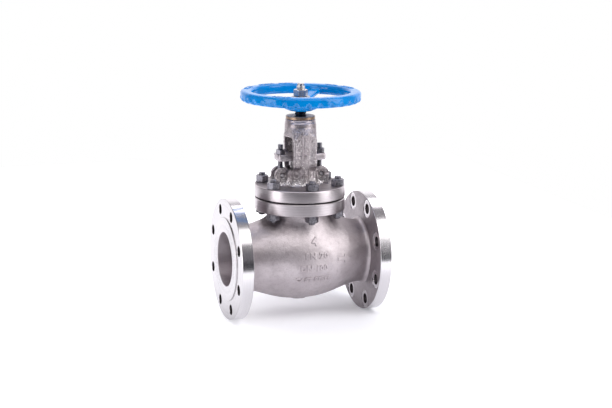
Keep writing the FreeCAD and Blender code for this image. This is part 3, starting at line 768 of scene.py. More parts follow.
def bronze_finish():
    """Tarnished bronze, browner on its side than on its top."""
    f = Finish("bronze_yoke_nut", (0.52, 0.37, 0.24), 1.0, 0.4)
    patches = f.noise(6, 4, 0.65)
    marks = f.line_noise(f.math("ADD", f.z, f.radius(f.x, f.y)), 0.8, 3)
    base = f.tint((0.30, 0.205, 0.145), patches, 0.38, 0.62, (0.38, 0.29, 0.225))
    top = f.span(f.z, YOKE_NUT_TOP - 1.3, YOKE_NUT_TOP - 0.4)
    base = f.mix(f.times(top, 0.8), base, (0.29, 0.235, 0.215))
    base = f.tint(base, marks, 0.55, 0.75, (0.25, 0.16, 0.10), 0.45)
    return f.done(base, f.span(patches, 0.3, 0.7, 0.32, 0.48), (marks, 0.03), (patches, 0.10))


def stem_finish():
    """Ground steel, with its screw painted near black for dark grease and the shade it sits in."""
    f = Finish("stem_steel", (0.62, 0.61, 0.60), 1.0, 0.25)
    marks = f.line_noise(f.z, 0.8, 3)
    smears = f.noise(5, 3, 0.6, stretch=(1, 1, 0.5))
    steel = f.tint((0.55, 0.53, 0.51), marks, 0.35, 0.65, (0.72, 0.70, 0.68))
    steel = f.tint(steel, f.noise(3, 3, shift=23), 0.5, 0.7, (0.40, 0.29, 0.22), 0.5)
    # partly painted shade: the screw between the gland and the hub is painted near black, for grease and for
    # the shade around it
    black = f.tint((0.020, 0.022, 0.030), smears, 0.4, 0.7, (0.075, 0.078, 0.095))
    grease_and_shade = f.times(f.span(f.z, GLAND_TOP + 2, GLAND_TOP + 8), f.span(f.z, HUB_BOTTOM + 1, HUB_BOTTOM - 1))
    rough = f.mix_value(grease_and_shade, f.span(smears, 0.3, 0.7, 0.18, 0.32), 0.34)
    return f.done(f.mix(grease_and_shade, steel, black), rough, (marks, 0.02), (smears, 0.05))


def paint_finish():
    """Glossy blue paint over a casting, with darker runs and small specks."""
    f = Finish("blue_paint", (0.0, 0.20, 0.68), 0.0, 0.5)
    f.set(Coat_Weight=0.75, Coat_Roughness=0.11, Coat_IOR=1.5, Specular_IOR_Level=0.0)
    runs = f.noise(5, 3, 0.6, shift=14)
    specks = f.noise(1.3, 2, 0.6, shift=47)
    base = f.tint((0.0, 0.195, 0.56), f.noise(26, 3), 0.35, 0.65, (0.0, 0.235, 0.66))
    base = f.tint(base, runs, 0.55, 0.75, (0.0, 0.11, 0.37), 0.35)
    base = f.tint(base, specks, 0.66, 0.76, (0.01, 0.25, 0.62), 0.35)
    return f.done(base, f.span(runs, 0.3, 0.7, 0.45, 0.6),
                  (f.noise(7, 2, 0.5, shift=3), 0.22), (specks, 0.05))


def graphite_finish():
    """Black braided and pressed graphite."""
    f = Finish("graphite", (0.03, 0.03, 0.034), 0.0, 0.6)
    flakes = f.noise(1.2, 4, 0.7)
    braid = f.noise(2.5, 2, 0.5, stretch=(1, 1, 2.2), shift=6)
    base = f.tint((0.018, 0.018, 0.021), flakes, 0.4, 0.7, (0.075, 0.075, 0.082))
    return f.done(base, f.span(flakes, 0.3, 0.7, 0.45, 0.75), (braid, 0.2), (flakes, 0.06))


BODY = body_finish()
YOKE = yoke_finish()
END_FLANGE = end_flange_finish()
BONNET_FLANGE = bonnet_flange_finish()
MACHINED = turned_finish("turned_steel", (0.46, 0.44, 0.45), (0.34, 0.32, 0.33), 0.32)
WASHER = turned_finish("washer_steel", (0.58, 0.565, 0.58), (0.42, 0.405, 0.42), 0.34)
PIN_STEEL = turned_finish("pin_steel", (0.62, 0.60, 0.62), (0.46, 0.44, 0.46), 0.30)
BOLTING = fastener_finish()
BOLTING_BRIGHT = turned_finish("wheel_nut_steel", (0.62, 0.61, 0.62), (0.42, 0.41, 0.42), 0.32)
GLAND_STEEL = gland_finish()
BRONZE = bronze_finish()
STEM = stem_finish()
PAINT = paint_finish()
GRAPHITE = graphite_finish()


# ---------------- valve body

def barrel_field(x, rho, radius_of_curve):
    """Distance to the barrel whose outline is an arc about a ring inside the axis."""
    return np.hypot(x, rho + BARREL_CURVE_R - BARREL_R) - radius_of_curve


def body_outside(x, y, z):
    rho = np.hypot(y, z)
    upright = np.hypot(x, y)
    shell = barrel_field(x, rho, BARREL_CURVE_R)
    shell = join(shell, rho - NECK_R, 14)
    shell = join(shell, disc_field(upright, z, BONNET_NECK_R, 0, NECK_TOP), 15)
    shell = join(shell, disc_field(upright, z, 78, BODY_FLANGE_BOTTOM + 0.5, NECK_TOP), 7)
    shell = join(shell, disc_field(rho, np.abs(x), 82, FLANGE_BACK_X + 0.5, 132), 9)
    shell = join(shell, disc_field(upright, z, 15, -85, -60), 3)
    ripple = 0.45 * grain.at(x, y, z, 22) + 0.14 * grain.at(x, y, z, 7)
    shell = shell - ripple
    shell = np.maximum(shell, np.abs(x) - (FLANGE_BACK_X + 2.5))
    return np.maximum(shell, z - (BODY_FLANGE_BOTTOM + 3))


def partition_distance(x, z):
    """Distance from the middle of the S-shaped wall between the chambers."""
    corners = ((-97, 60), (-53, 2), (53, 2), (97, -56))
    nearest = None
    for (x0, z0), (x1, z1) in zip(corners, corners[1:]):
        dx, dz = x1 - x0, z1 - z0
        share = np.clip(((x - x0) * dx + (z - z0) * dz) / (dx * dx + dz * dz), 0, 1)
        away = np.hypot(x - x0 - share * dx, z - z0 - share * dz)
        nearest = away if nearest is None else np.minimum(nearest, away)
    return nearest


def body_hollow(x, y, z):
    rho = np.hypot(y, z)
    upright = np.hypot(x, y)
    hollow = barrel_field(x, rho, BARREL_CURVE_R - WALL)
    hollow = carve(hollow, partition_distance(x, z) - 6, 5)
    hollow = join(hollow, disc_field(rho, np.abs(x), PORT_R + 0.3, 91.5, 140), 3)
    hollow = join(hollow, disc_field(upright, z, BONNET_BORE_R, 30, 120), 4)
    hollow = np.minimum(hollow, disc_field(upright, z, SEAT_BORE_R, -14, 18))
    return np.minimum(hollow, disc_field(upright, z, SEAT_RECESS_R, -2, 9))


def body_field(x, y, z):
    return carve(body_outside(x, y, z), body_hollow(x, y, z), 1.0)


def raised_shape(curve, depth, bevel):
    """Points and faces of a flat curve or text made solid, in mm."""
    curve.extrude = depth / 2 - bevel
    curve.bevel_depth = bevel
    curve.bevel_resolution = 3
    curve.resolution_u = 3
    maker = new_object("maker", curve)
    graph = bpy.context.evaluated_depsgraph_get()
    mesh = bpy.data.meshes.new_from_object(maker.evaluated_get(graph))
    points = np.array([v.co for v in mesh.vertices], float).reshape(-1, 3)
    faces = [tuple(p.vertices) for p in mesh.polygons]
    bpy.data.objects.remove(maker)
    bpy.data.meshes.remove(mesh)
    return points, faces


def letters(text, size, depth, stroke=0.25, bevel=0.35):
    """Raised letters, centred, lying in XY with their depth about z 0."""
    curve = bpy.data.curves.new("letters", "FONT")
    curve.body = text
    curve.size = size
    curve.align_x = "CENTER"
    curve.align_y = "CENTER"
    curve.offset = stroke
    curve.space_character = 1.15
    return raised_shape(curve, depth, bevel)


def outline_shape(corners, depth, bevel):
    """Raised flat shape from its corners."""
    curve = bpy.data.curves.new("outline", "CURVE")
    curve.dimensions = "2D"
    curve.fill_mode = "BOTH"
    spline = curve.splines.new("POLY")
    spline.points.add(len(corners) - 1)
    for point, (x, y) in zip(spline.points, corners):
        point.co = (x, y, 0, 1)
    spline.use_cyclic_u = True
    return raised_shape(curve, depth, bevel)


def arrow(length, width, depth, bevel):
    """Raised arrow that points along +X."""
    head, shaft = length * 0.42, width * 0.17
    half = length / 2
    return outline_shape([(-half, -shaft), (half - head, -shaft), (half - head, -width / 2), (half, 0),
                          (half - head, width / 2), (half - head, shaft), (-half, shaft)], depth, bevel)


def on_barrel(shape, x, z):
    """Wrap a flat raised shape on the front of the barrel, centred at (x, z)."""
    points, faces = shape
    ring_r = BARREL_CURVE_R - BARREL_R
    along = math.asin(x / BARREL_CURVE_R) + points[:, 0] / BARREL_CURVE_R
    round_r = BARREL_CURVE_R * math.cos(math.asin(x / BARREL_CURVE_R)) - ring_r
    about = math.asin(z / round_r) + points[:, 1] / round_r

    def at_depth(deep):
        rho = deep * np.cos(along) - ring_r
        return np.stack([deep * np.sin(along), -rho * np.cos(about), rho * np.sin(about)], 1)

    swell = -body_outside(*at_depth(BARREL_CURVE_R).T)
    return at_depth(BARREL_CURVE_R + swell + MARK_LIFT + points[:, 2]), faces


def on_bonnet_neck(shape, degrees, z):
    """Wrap a flat raised shape on the body's upright neck."""
    points, faces = shape
    angle = math.radians(degrees) + points[:, 0] / BONNET_NECK_R

    def at_reach(reach):
        return np.stack([reach * np.cos(angle), reach * np.sin(angle), z + points[:, 1]], 1)

    swell = -body_outside(*at_reach(BONNET_NECK_R).T)
    return at_reach(BONNET_NECK_R + swell + points[:, 2]), faces


def make_body():
    low = (-FLANGE_BACK_X - 4, -87, -88)
    high = (FLANGE_BACK_X + 4, 87, BODY_FLANGE_BOTTOM + 5)
    skin = casting("body_casting", body_field, low, high, BODY_STEP)
    finish_piece(skin, BODY, "cast_steel", VALVE, "valve_body")
    lines = (("4", 22, 3.4, -0.1, 1.4, 6, 40), ("PN 20", 15.5, 2.9, 0.0, 1.05, 8, 15),
             ("DN 100", 14.5, 2.9, 0.0, 1.0, 3, -8), ("CAST STEEL", 11.5, 2.6, 0.0, 0.85, 3, -30))
    marks = [on_barrel(letters(*line[:5]), *line[5:]) for line in lines]
    marks += [on_barrel(arrow(26, 11, 4.0, 1.7), 65, 5),
              on_bonnet_neck(letters("1 2 3", 10.5, 2.6, 0.0, 0.85), -88, 79)]
    finish_piece(place("body_cast_marks", together(marks), 60), BODY, "cast_steel", VALVE)


def end_flange(name, side):
    """Pipe flange: turned ring, bolt holes and the spotfaces behind them."""
    rim_x = FACE_X - RAISED_FACE_HEIGHT
    rim_r = FLANGE_R - 0.05
    rows = [(PORT_R, FLANGE_BACK_X), (rim_r - 1.0, FLANGE_BACK_X), (rim_r, FLANGE_BACK_X + 1.0),
            (rim_r, rim_x - 0.8), (rim_r - 0.8, rim_x), (RAISED_FACE_R + 0.5, rim_x),
            (RAISED_FACE_R, rim_x + 0.4), (RAISED_FACE_R, FACE_X - 0.4), (RAISED_FACE_R - 0.4, FACE_X),
            (PORT_R + 0.7, FACE_X), (PORT_R, FACE_X - 0.7)]
    piece = place(name, about_x(ring(rows, 192), side))
    holes = []
    for i in range(FLANGE_BOLTS):
        y, z = polar(FLANGE_BOLT_CIRCLE_R, (i + 0.5) * 360 / FLANGE_BOLTS)
        floor = FLANGE_BACK_X + SPOTFACE_DEPTH
        tool = spindle([(SPOTFACE_R, FLANGE_BACK_X - 3), (SPOTFACE_R, floor), (FLANGE_HOLE_R + 0.6, floor),
                        (FLANGE_HOLE_R, floor + 0.6), (FLANGE_HOLE_R, rim_x - 0.6),
                        (FLANGE_HOLE_R + 0.6, rim_x), (FLANGE_HOLE_R + 0.6, FACE_X + 2)], 40)
        points, faces = about_x(tool, side)
        holes.append((points + np.array([0, y, z]), faces))
    cut(piece, together(holes))
    shade(piece.data, 30)
    finish_piece(piece, END_FLANGE, "cast_steel", VALVE, "valve_body")


def stud_tools(low, high):
    tools = []
    for degrees in STUD_ANGLES:
        x, y = polar(STUD_CIRCLE_R, degrees)
        tools.append(shifted(plug(STUD_HOLE_R, low, high, 32), x, y))
    return together(tools)


def make_bonnet_joint():
    """The body's upper flange and the bonnet's flange, with their stud holes."""
    low, high = BODY_FLANGE_BOTTOM, BODY_FLANGE_TOP
    rows = [(BONNET_BORE_R, low), (BONNET_FLANGE_R - 1.2, low), (BONNET_FLANGE_R, low + 1.2),
            (BONNET_FLANGE_R, high - 1.2), (BONNET_FLANGE_R - 1.2, high), (BONNET_BORE_R + 1, high),
            (BONNET_BORE_R, high - 1)]
    lower = place("body_bonnet_flange", ring(rows, 160))
    cut(lower, stud_tools(low - 2, high + 2))
    finish_piece(lower, BONNET_FLANGE, "cast_steel", VALVE, "valve_body")
    low, high = BONNET_FLANGE_BOTTOM, BONNET_FLANGE_TOP
    edge = 1.9
    rounding = [(BONNET_FLANGE_R - edge + edge * math.cos(a), high - edge + edge * math.sin(a))
                for a in np.linspace(0, math.pi / 2, 5)]
    rows = [(40, SPIGOT_BOTTOM), (49.2, SPIGOT_BOTTOM), (49.2, low), (BONNET_FLANGE_R - 0.8, low),
            (BONNET_FLANGE_R, low + 0.8)] + rounding + [(22, high), (22, 122), (30, 122)]
    upper = place("bonnet_flange", ring(rows, 160), 25)
    cut(upper, stud_tools(low - 2, high + 2))
    finish_piece(upper, BONNET_FLANGE, "cast_steel", VALVE, "bonnet")


# ---------------- bonnet and yoke

def yoke_field(x, y, z):
    rho = np.hypot(x, y)
    rise = np.clip((z - SHOULDER_BOTTOM) / (SHOULDER_TOP - SHOULDER_BOTTOM), 0, 1)
    limit = SHOULDER_R + 0.4 - (SHOULDER_R - YOKE_BOSS_R + 1.2) * rise * (1.2 - 0.2 * rise)
    middle = (120 + SHOULDER_TOP) / 2
    # the panels beside the rib are a little hollow, and draw in under the window
    draw = np.clip((176 - z) / 12, 0, 1)
    across = np.abs(x)
    hollow = 0.6 * np.exp(-((across - 10) / 6) ** 2)
    panel_y = ARM_OUTER_Y - 0.3 - 6 * draw * draw * (3 - 2 * draw) - hollow
    arms = block_field((x, y * ARM_OUTER_Y / panel_y, z - middle),
                       (ARM_HALF_WIDTH, ARM_OUTER_Y, SHOULDER_TOP + 4 - middle), 2)
    arms = trim(arms, (rho - limit) * 0.9, 2)
    rib_half = 4.7 + 0.45 * (RIB_OUTER_Y - np.abs(y))
    rib = block_field((x * 4.7 / np.maximum(rib_half, 2), y, z - 177), (4.7, RIB_OUTER_Y, 57), 1.2)
    solid = join(arms, trim(rib, (rho - limit - 1.2) * 0.9, 1.5), 1.5)
    solid = join(solid, disc_field(rho, z, YOKE_BOSS_R, 214, YOKE_TOP + 6), 11)
    rough = np.clip((248 - z) / 12, 0, 1)
    solid = solid - 0.30 * rough * grain.at(x, y, z, 6.5)
    window_mid = (STUFFING_BOX_TOP + WINDOW_TOP) / 2
    window = block_field((x * 0.4, y, z - window_mid), (40, ARM_INNER_Y, WINDOW_TOP - window_mid), 3)
    solid = carve(solid, window, 1.5)
    dome_r = np.interp(z, [BONNET_FLANGE_TOP, STUFFING_BOX_TOP], [35, 28])
    dome = trim((rho - dome_r) * 0.97, np.abs(z - 142.5) - 22.5, 3)
    solid = join(solid, dome, 6)
    from_pin, depth = np.hypot(across - EYEBOLT_X, z - EYE_Z), np.abs(y)
    ears = disc_field(from_pin, depth, EAR_R + 0.2, -EAR_OUTER_Y, EAR_OUTER_Y - 0.3)
    foot = block_field((across - 38, y, z - 138), (15, EAR_OUTER_Y, 18), 1.0)
    ears = join(ears, foot, 1)
    solid = join(solid, ears, 4)
    slot = block_field((across - 46, y, z - 165), (18.5, EAR_SLOT_HALF, 25), 1.5)
    solid = carve(solid, slot, 1.0)
    root = disc_field(rho, z, 43, 118, BONNET_FLANGE_TOP - 0.6)
    solid = join(solid, root, 8)
    solid = solid - rough * (0.24 * grain.at(x, y, z, 4) + 0.12 * grain.at(x, y, z, 2.2))
    box_bore = disc_field(rho, z, STUFFING_BOX_R + 0.4, STUFFING_BOX_BOTTOM, 170)
    nut_bore = disc_field(rho, z, YOKE_NUT_R, 222, YOKE_TOP + 4)
    pin = disc_field(from_pin, depth, PIN_R + 0.1, -30, 30)
    dished = disc_field(from_pin, depth, PIN_R + 1.0, EAR_OUTER_Y - 1.6, 30)
    collar_room = disc_field(rho, z, COLLAR_ROOM_R, STUFFING_BOX_TOP + 0.2, 190)
    for bore in (box_bore, nut_bore, pin, dished, collar_room):
        solid = carve(solid, bore, 0.8)
    solid = np.maximum(solid, z - YOKE_TOP + 0.05)
    solid = np.maximum(solid, (rho + z - YOKE_TOP - YOKE_BOSS_R + 1.5) * 0.707)
    return np.maximum(solid, 128 - z)


def on_rib(shape, z):
    """Stand a flat raised shape on the front rib, reading upwards."""
    points, faces = shape
    return np.stack([-points[:, 1], -RIB_OUTER_Y - points[:, 2], z + points[:, 0]], 1), faces


def make_bonnet():
    low = (-57, -38, 126)
    high = (57, 38, YOKE_TOP + 2)
    yoke = casting("bonnet_casting", yoke_field, low, high, YOKE_STEP)
    finish_piece(yoke, YOKE, "cast_steel", VALVE, "bonnet")
    marks = place("yoke_cast_marks", together([on_rib(letters("1 2 3 4 5", 8.5, 1.3), 197)]), 60)
    finish_piece(marks, YOKE, "cast_steel", VALVE)


def make_gland():
    """Gland flange and follower, eyebolts, pins and gland nuts."""
    half_l, half_w, r = GLAND_HALF_LENGTH, GLAND_HALF_WIDTH, 6.0
    outline = []
    for cx, cy, start in ((half_l - r, half_w - r, 0), (r - half_l, half_w - r, 90),
                          (r - half_l, r - half_w, 180), (half_l - r, r - half_w, 270)):
        for step in range(7):
            dx, dy = polar(r, start + step * 15)
            outline.append((cx + dx, cy + dy))
    bar = place("gland_flange", extruded(outline, GLAND_BOTTOM, GLAND_TOP))
    holes = [shifted(plug(5.7, GLAND_BOTTOM - 2, GLAND_TOP + 2, 32), x) for x in (-EYEBOLT_X, EYEBOLT_X)]
    cut(bar, together(holes + [plug(12, GLAND_BOTTOM - 2, GLAND_TOP + 2, 48)]))
    soften(bar, 1.0, 40)
    finish_piece(bar, GLAND_STEEL, "forged_steel", GLAND, "gland_flange")

    bottom, collar, top = bottom_of("gland_follower"), COLLAR_Z, GLAND_BOTTOM
    rows = [(11.6, bottom), (18.2, bottom), (18.2, collar), (19.9, collar), (20.5, collar + 0.6),
            (20.5, top - 0.6), (19.9, top), (11.6, top)]
    stand_in("gland_follower", ring(rows, 72), MACHINED, "machined_steel", GLAND)

    def eye_field(x, y, z):
        from_pin, depth = np.hypot(x - EYEBOLT_X, z - EYE_Z), np.abs(y)
        eye = disc_field(from_pin + 0.8, depth + 0.8, EYE_R, -EYE_WIDTH / 2, EYE_WIDTH / 2) - 0.8
        shank = disc_field(np.hypot(x - EYEBOLT_X, y), z, EYEBOLT_R, EYE_Z, 174)
        hole = disc_field(from_pin, depth, PIN_R + 0.05, -10, 10)
        return carve(join(eye, shank, 4), hole, 0.5)

    points, faces = surface_net(eye_field, (27, -8, 144), (50, 8, 176), EYE_STEP)
    eye = (points, [tuple(face) for face in faces.tolist()])
    rod = spindle(screw_rows(EYEBOLT_R, 0.7, GLAND_PITCH, 171, EYEBOLT_TOP, 24, 0.9), 24)
    right = together([eye, shifted(rod, EYEBOLT_X)])
    # the slotted tube of the pin, its slot facing outwards
    gap = math.degrees(0.8 / PIN_R)
    around = np.linspace(gap, 360 - gap, 33)
    outline = [polar(PIN_R, a) for a in around] + [polar(PIN_R - 1.3, a) for a in around[::-1]]
    length = limits("eyebolt_pin_right")[1][1]
    points, faces = extruded(outline, -length, length)
    pin_points = np.stack([points[:, 0] + EYEBOLT_X, points[:, 2], points[:, 1] + EYE_Z], 1)
    nut = hex_nut(GLAND_NUT_FLATS, GLAND_NUT_HEIGHT, EYEBOLT_R + 0.05)
    for word, flip, turn in (("right", False, 17), ("left", True, 41)):
        shapes = [right, (pin_points, faces)]
        if flip:
            shapes = [mirrored(s) for s in shapes]
        stand_in("eyebolt_" + word, shapes[0], BOLTING, "fastener_steel", VALVE, 40)
        stand_in("eyebolt_pin_" + word, shapes[1], PIN_STEEL, "fastener_steel", VALVE, 40)
        side = -1 if flip else 1
        stand_in("gland_nut_" + word, shifted(nut, side * EYEBOLT_X, 0, GLAND_TOP, turn),
                 BOLTING, "fastener_steel", word + "_nut", 30)


def make_packing():
    """Five packing rings, on a mesh of their own."""
    low, high = STUFFING_BOX_BOTTOM, top_of("packing_rings")
    inner, outer, count, round_off = STEM_R + 0.2, STUFFING_BOX_R - 0.1, 5, 0.6
    rings = []
    for step in range(count):
        under = low + (high - low) * step / count + 0.05
        over = low + (high - low) * (step + 1) / count - 0.05
        rings.append(ring([(inner, under + round_off), (inner + round_off, under), (outer - round_off, under),
                           (outer, under + round_off), (outer, over - round_off), (outer - round_off, over),
                           (inner + round_off, over), (inner, over - round_off)], 64))
    packing = place("packing", together(rings))
    finish_piece(packing, GRAPHITE, "graphite", VALVE, "packing_rings")
    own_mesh(packing)


def make_bolting():
    """Studs and heavy nuts of the bonnet joint."""
    turns = np.random.default_rng(3).uniform(0, 60, 12)
    nut = hex_nut(STUD_NUT_FLATS, STUD_NUT_HEIGHT, STUD_R + 0.05)
    places = [polar(STUD_CIRCLE_R, degrees) for degrees in STUD_ANGLES]
    upper = [shifted(nut, x, y, BONNET_FLANGE_TOP, t) for (x, y), t in zip(places, turns[:6])]
    lower_z = BODY_FLANGE_BOTTOM - STUD_NUT_HEIGHT
    lower = [shifted(nut, x, y, lower_z, t) for (x, y), t in zip(places, turns[6:])]
    low, high = bottom_of("bonnet_studs"), top_of("bonnet_studs")
    rows = screw_rows(STUD_R, 0.75, STUD_PITCH, high - 20, high, 28, 1.1)
    bottom = [(r, low + high - z) for r, z in reversed(rows)]
    stud = spindle(bottom + rows, 28)
    studs = [shifted(stud, x, y, 0, t) for (x, y), t in zip(places, turns * 5)]
    for name, shapes in (("bonnet_nuts_upper", upper), ("bonnet_nuts_lower", lower),
                         ("bonnet_studs", studs)):
        stand_in(name, together(shapes), BOLTING, "fastener_steel", VALVE, 30)


def make_yoke_nut():
    bottom, flange, top = bottom_of("yoke_nut"), YOKE_TOP + 0.1, YOKE_NUT_TOP
    r, shank_r = YOKE_NUT_FLANGE_R, YOKE_NUT_R - 0.05
    rows = [(11.2, bottom), (shank_r, bottom), (shank_r, flange), (r - 0.3, flange), (r, flange + 0.3),
            (r, top - 0.8), (r - 0.8, top), (12.3, top), (11.2, top - 1.1)]
    stand_in("yoke_nut", ring(rows, 96), BRONZE, "bronze", VALVE, 28)


def make_stem():
    """Stem with its head, shoulder, screw, round seat for the hub and threaded end."""
    head = bottom_of("stem")
    rows = [(12.5, head), (14.5, head + 2), (14.5, head + 7), (11, head + 7), (11, 68), (15, 72), (15, 73),
            (11, 77), (11, 196)]
    screw_top = HUB_BOTTOM - 0.2
    rows += screw_rows(STEM_R - 0.02, 1.5, STEM_PITCH, 197, screw_top, 48, 0.8, flat=0.27, per_pitch=9)
    shank = spindle(rows, 48)
    end_rows = [(8.3, HUB_BOTTOM - 1), (8.3, HUB_TOP - 1), (STEM_END_R, HUB_TOP)]
    end_rows += screw_rows(STEM_END_R, 0.9, STEM_END_PITCH, HUB_TOP + 0.5, STEM_TOP - 5, 36)
    end_rows += [(STEM_END_R - 1.0, STEM_TOP - 4.6), (STEM_END_R - 1.0, STEM_TOP - 1.3),
                 (STEM_END_R - 2.2, STEM_TOP)]
    stand_in("stem", together([shank, spindle(end_rows, 36)]), STEM, "machined_steel", WHEEL, 40)


# ---------------- handwheel

def wheel_field(x, y, z):
    rho = np.hypot(x, y)
    angle = np.arctan2(y, x)
    rim_high = RIM_TOP - 1.0
    middle_r, middle_z = (WHEEL_R + RIM_INNER_R) / 2, (rim_high + RIM_BOTTOM) / 2
    half = ((WHEEL_R - RIM_INNER_R) / 2, (rim_high - RIM_BOTTOM) / 2)
    rim = block_field((rho - middle_r, z - middle_z), half, 5.5)
    pitch = TAU / SCALLOPS
    fold = (angle + pitch / 2) % pitch - pitch / 2
    notch_r = 7.0
    bite = 4.6 * np.clip((RIM_TOP - 8 - z) / 9, 0, 1) - 0.8
    away = np.hypot(rho * np.cos(fold) - (WHEEL_R + notch_r - bite), rho * np.sin(fold))
    rim = carve(rim, away - notch_r, 1.2)
    hub = join(disc_field(rho, z, 20, HUB_BOTTOM + 4, HUB_TOP),
               disc_field(rho + 1.5, z, 31.5, HUB_BOTTOM + 1.5, 281.5) - 1.5, 5)
    hub = trim(hub, (rho - 22.5 - (z - HUB_BOTTOM) * 2.2) * 0.42, 1.5)
    wheel = hub
    for degrees in SPOKE_ANGLES:
        c, s = polar(1, degrees)
        along, across = x * c + y * s, y * c - x * s
        rise = np.interp(along, [16, 96], [290, 301])
        width = np.interp(along, [16, 40, 96], [9.0, 8.6, 9.0])
        spoke = block_field((along - 56, across * 9 / width, (z - rise) * 0.99), (42, 9, 4.5), 3.2)
        wheel = join(wheel, spoke, 5)
    wheel = join(wheel, rim, 5)
    wheel = wheel - 0.18 * grain.at(x, y, z, 9) - 0.05
    wheel = np.maximum(wheel, z - (RIM_TOP - 0.05))
    return np.maximum(wheel, HUB_BOTTOM + 0.05 - z)


def on_rim(shape, degrees):
    """Lay a flat raised shape round the top of the rim, centred at an angle."""
    points, faces = shape
    middle_r = (WHEEL_R + RIM_INNER_R) / 2
    angle = math.radians(degrees) - points[:, 0] / middle_r
    reach = middle_r + points[:, 1]
    height = RIM_TOP - 0.05 - points[:, 2].max() + points[:, 2]
    return np.stack([reach * np.cos(angle), reach * np.sin(angle), height], 1), faces


def make_handwheel():
    edge = WHEEL_R + 1.5
    wheel = casting("handwheel", wheel_field, (-edge, -edge, HUB_BOTTOM - 1.5),
                    (edge, edge, RIM_TOP + 1.5), WHEEL_STEP)
    finish_piece(wheel, PAINT, "blue_paint", WHEEL, "handwheel")

    def word(text):
        return letters(text, 12, 2.4, 0.1, 0.6)

    pointer = arrow(26, 9, 2.4, 0.6)
    marks = [on_rim(word("OPEN"), 112), on_rim(word("SHUT"), 12), on_rim(pointer, 88), on_rim(pointer, 36),
             on_rim(word("OPEN"), 232), on_rim(word("SHUT"), 146)]
    finish_piece(place("handwheel_marks", together(marks), 60), PAINT, "blue_paint", WHEEL)

    low, high = HUB_TOP, WHEEL_NUT_BOTTOM
    rows = [(8.1, low), (16.6, low), (17, low + 0.4), (17, high - 0.4), (16.6, high), (8.1, high)]
    stand_in("handwheel_washer", ring(rows, 64), WASHER, "machined_steel", WHEEL, 28)
    nut = hex_nut(WHEEL_NUT_FLATS, WHEEL_NUT_HEIGHT, STEM_END_R + 0.05)
    stand_in("handwheel_nut", shifted(nut, 0, 0, WHEEL_NUT_BOTTOM, 23),
             BOLTING_BRIGHT, "fastener_steel", WHEEL, 30)


make_body()
end_flange("inlet_flange", -1)
end_flange("outlet_flange", 1)
make_bonnet_joint()
make_bonnet()
make_gland()
make_packing()
make_bolting()
make_yoke_nut()
make_stem()
make_handwheel()

CARRIED = dict.fromkeys(("seat_ring", "disc", "disc_nut", "thrust_plate", "backseat_bushing"), MACHINED)
CARRIED.update(bonnet_gasket=GRAPHITE, yoke_nut_set_screw=BOLTING)
for node, material in CARRIED.items():
    for material_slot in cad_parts[node].material_slots:
        material_slot.material = material


# ---------------- studio

FLOOR_Z = -FLANGE_R * MM
FLOOR_NEAR_Y, FLOOR_FAR_Y, FLOOR_SIDE = -0.68, 1.6, 1.15
FLOOR_GLOW, FLOOR_GLOW_FAR = 0.16, 0.95


def make_floor():
    """Pale card that glows as painted light: dimmest round a point beside the valve, which deepens its
    shadow, and brighter away from it so that it fades into the white behind.
    """
    mesh = bpy.data.meshes.new("floor")
    corners = [(x, y, FLOOR_Z) for x, y in ((-FLOOR_SIDE, FLOOR_NEAR_Y), (FLOOR_SIDE, FLOOR_NEAR_Y),
                                            (FLOOR_SIDE, FLOOR_FAR_Y), (-FLOOR_SIDE, FLOOR_FAR_Y))]
    mesh.from_pydata(corners, [], [(0, 1, 2, 3)])
    floor = new_object("floor", mesh)
    f = Finish("floor_card", (0.86, 0.86, 0.875), 0.0, 0.75)
    fibre = f.noise(30, 3)
    away = f.radius(f.math("SUBTRACT", f.x, 110), f.math("ADD", f.y, 60))
    f.set(Emission_Color=(1, 1, 1, 1),
          Emission_Strength=f.span(away, 120, 480, FLOOR_GLOW, FLOOR_GLOW_FAR, True))
    mesh.materials.append(f.done(f.tint((0.82, 0.83, 0.875), fibre, 0.3, 0.7, (0.835, 0.845, 0.89)),
                                 f.span(fibre, 0.3, 0.7, 0.68, 0.80)))


def make_world():
    """White where the camera sees it. In reflections a grey room, with a bright patch behind the
    valve and two dark bands in front."""
    world = bpy.data.worlds.new("studio")
    world.use_nodes = True
    world.node_tree.nodes.clear()
    w = Nodes(world.node_tree)

    def ramp(value, low, high):
        return w.span(value, low, high, smooth=True)

    towards = w.add("TexCoord").outputs["Generated"]
    front = w.add("VectorMath", {0: towards, 1: (-0.327, -0.945, 0.0)}, operation="DOT_PRODUCT")
    height = w.add("SeparateXYZ", {0: towards}).outputs[2]
    facing = front.outputs["Value"]
    ahead = ramp(facing, -0.25, 0.45)
    low_band = w.times(ahead, ramp(height, 0.20, 0.05))
    high_band = w.times(ahead, ramp(height, 0.52, 0.40))
    backdrop = w.times(ramp(facing, -0.45, -0.75),
                       w.times(ramp(height, -0.30, -0.15), ramp(height, 0.75, 0.45)))
    room = w.mix(ramp(height, 0.5, 0.95), (0.27, 0.26, 0.27), (0.36, 0.345, 0.36))
    room = w.mix(backdrop, room, (1.45, 1.41, 1.45))
    room = w.mix(high_band, room, (0.15, 0.14, 0.16))
    room = w.mix(low_band, room, (0.03, 0.03, 0.04))
    seen = w.add("LightPath").outputs["Is Camera Ray"]
    light = w.add("Background", {"Color": w.mix(seen, room, (1.0, 1.0, 1.0)), "Strength": 1.0})
    w.add("OutputWorld", {"Surface": light.outputs[0]})
    bpy.context.scene.world = world


CAMERA_AZIMUTH = -19.09
CAMERA_ELEVATION = 12.45
CAMERA_ROLL = 0.76
CAMERA_LENS = 79.88
AIM_ACROSS = 12.49
AIM_UP = 94.86
DISTANCE = 2583.39


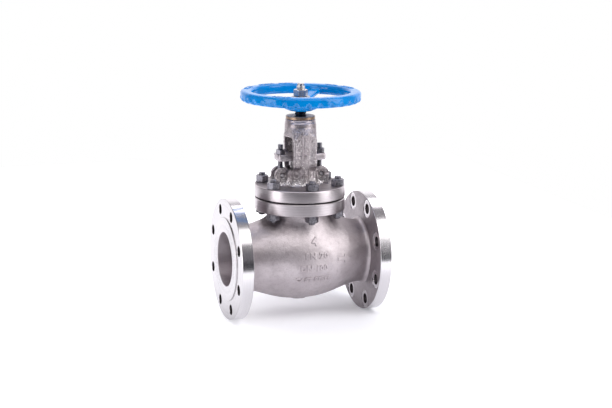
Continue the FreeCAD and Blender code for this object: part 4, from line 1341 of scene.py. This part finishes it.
def camera_axes():
    a, e = math.radians(CAMERA_AZIMUTH), math.radians(CAMERA_ELEVATION)
    back = Vector((math.sin(a) * math.cos(e), -math.cos(a) * math.cos(e), math.sin(e)))
    right = Vector((math.cos(a), math.sin(a), 0))
    return right, back.cross(right), back


def make_camera():
    right, up, back = camera_axes()
    aim = Vector(CENTRE) + (right * AIM_ACROSS + up * AIM_UP) * MM
    roll = math.radians(CAMERA_ROLL)
    side = right * math.cos(roll) + up * math.sin(roll)
    top = up * math.cos(roll) - right * math.sin(roll)
    data = bpy.data.cameras.new("camera")
    data.lens = CAMERA_LENS
    data.sensor_width = 36
    data.clip_start, data.clip_end = 0.05, 50
    camera = new_object("camera", data)
    turn = Matrix((side, top, back)).transposed().to_4x4()
    camera.matrix_world = Matrix.Translation(aim + back * DISTANCE * MM) @ turn
    bpy.context.scene.camera = camera


def softbox(name, azimuth, elevation, distance, width, height, power, tint=(1, 1, 1)):
    """Area light aimed at the valve. Azimuth is measured from the camera's side, to the right."""
    right, _, back = camera_axes()
    level = Vector((back.x, back.y, 0)).normalized()
    a, e = math.radians(azimuth), math.radians(elevation)
    direction = (level * math.cos(a) + right * math.sin(a)) * math.cos(e) + Vector((0, 0, math.sin(e)))
    data = bpy.data.lights.new(name, "AREA")
    data.shape = "RECTANGLE"
    data.size, data.size_y = width, height
    data.energy = power
    data.color = tint
    lamp = new_object(name, data)
    aim = Vector(CENTRE) + Vector((0, 0, 0.09))
    lamp.location = aim + direction * distance
    lamp.rotation_mode = "QUATERNION"
    lamp.rotation_quaternion = direction.to_track_quat("Z", "Y")


make_floor()
make_world()
make_camera()
softbox("left_softbox", -58, 8, 1.8, 0.75, 1.1, 10, (1, 0.975, 0.985))
softbox("right_softbox", 67, 26, 1.8, 1.05, 2.1, 25, (1, 0.985, 0.975))
softbox("front_softbox", 0, 57, 1.7, 2.1, 0.9, 13, (1, 0.985, 0.98))
softbox("back_softbox", 180, 60, 2.2, 2.2, 1.0, 18, (1, 0.97, 1))
bpy.context.scene.view_settings.view_transform = "Standard"
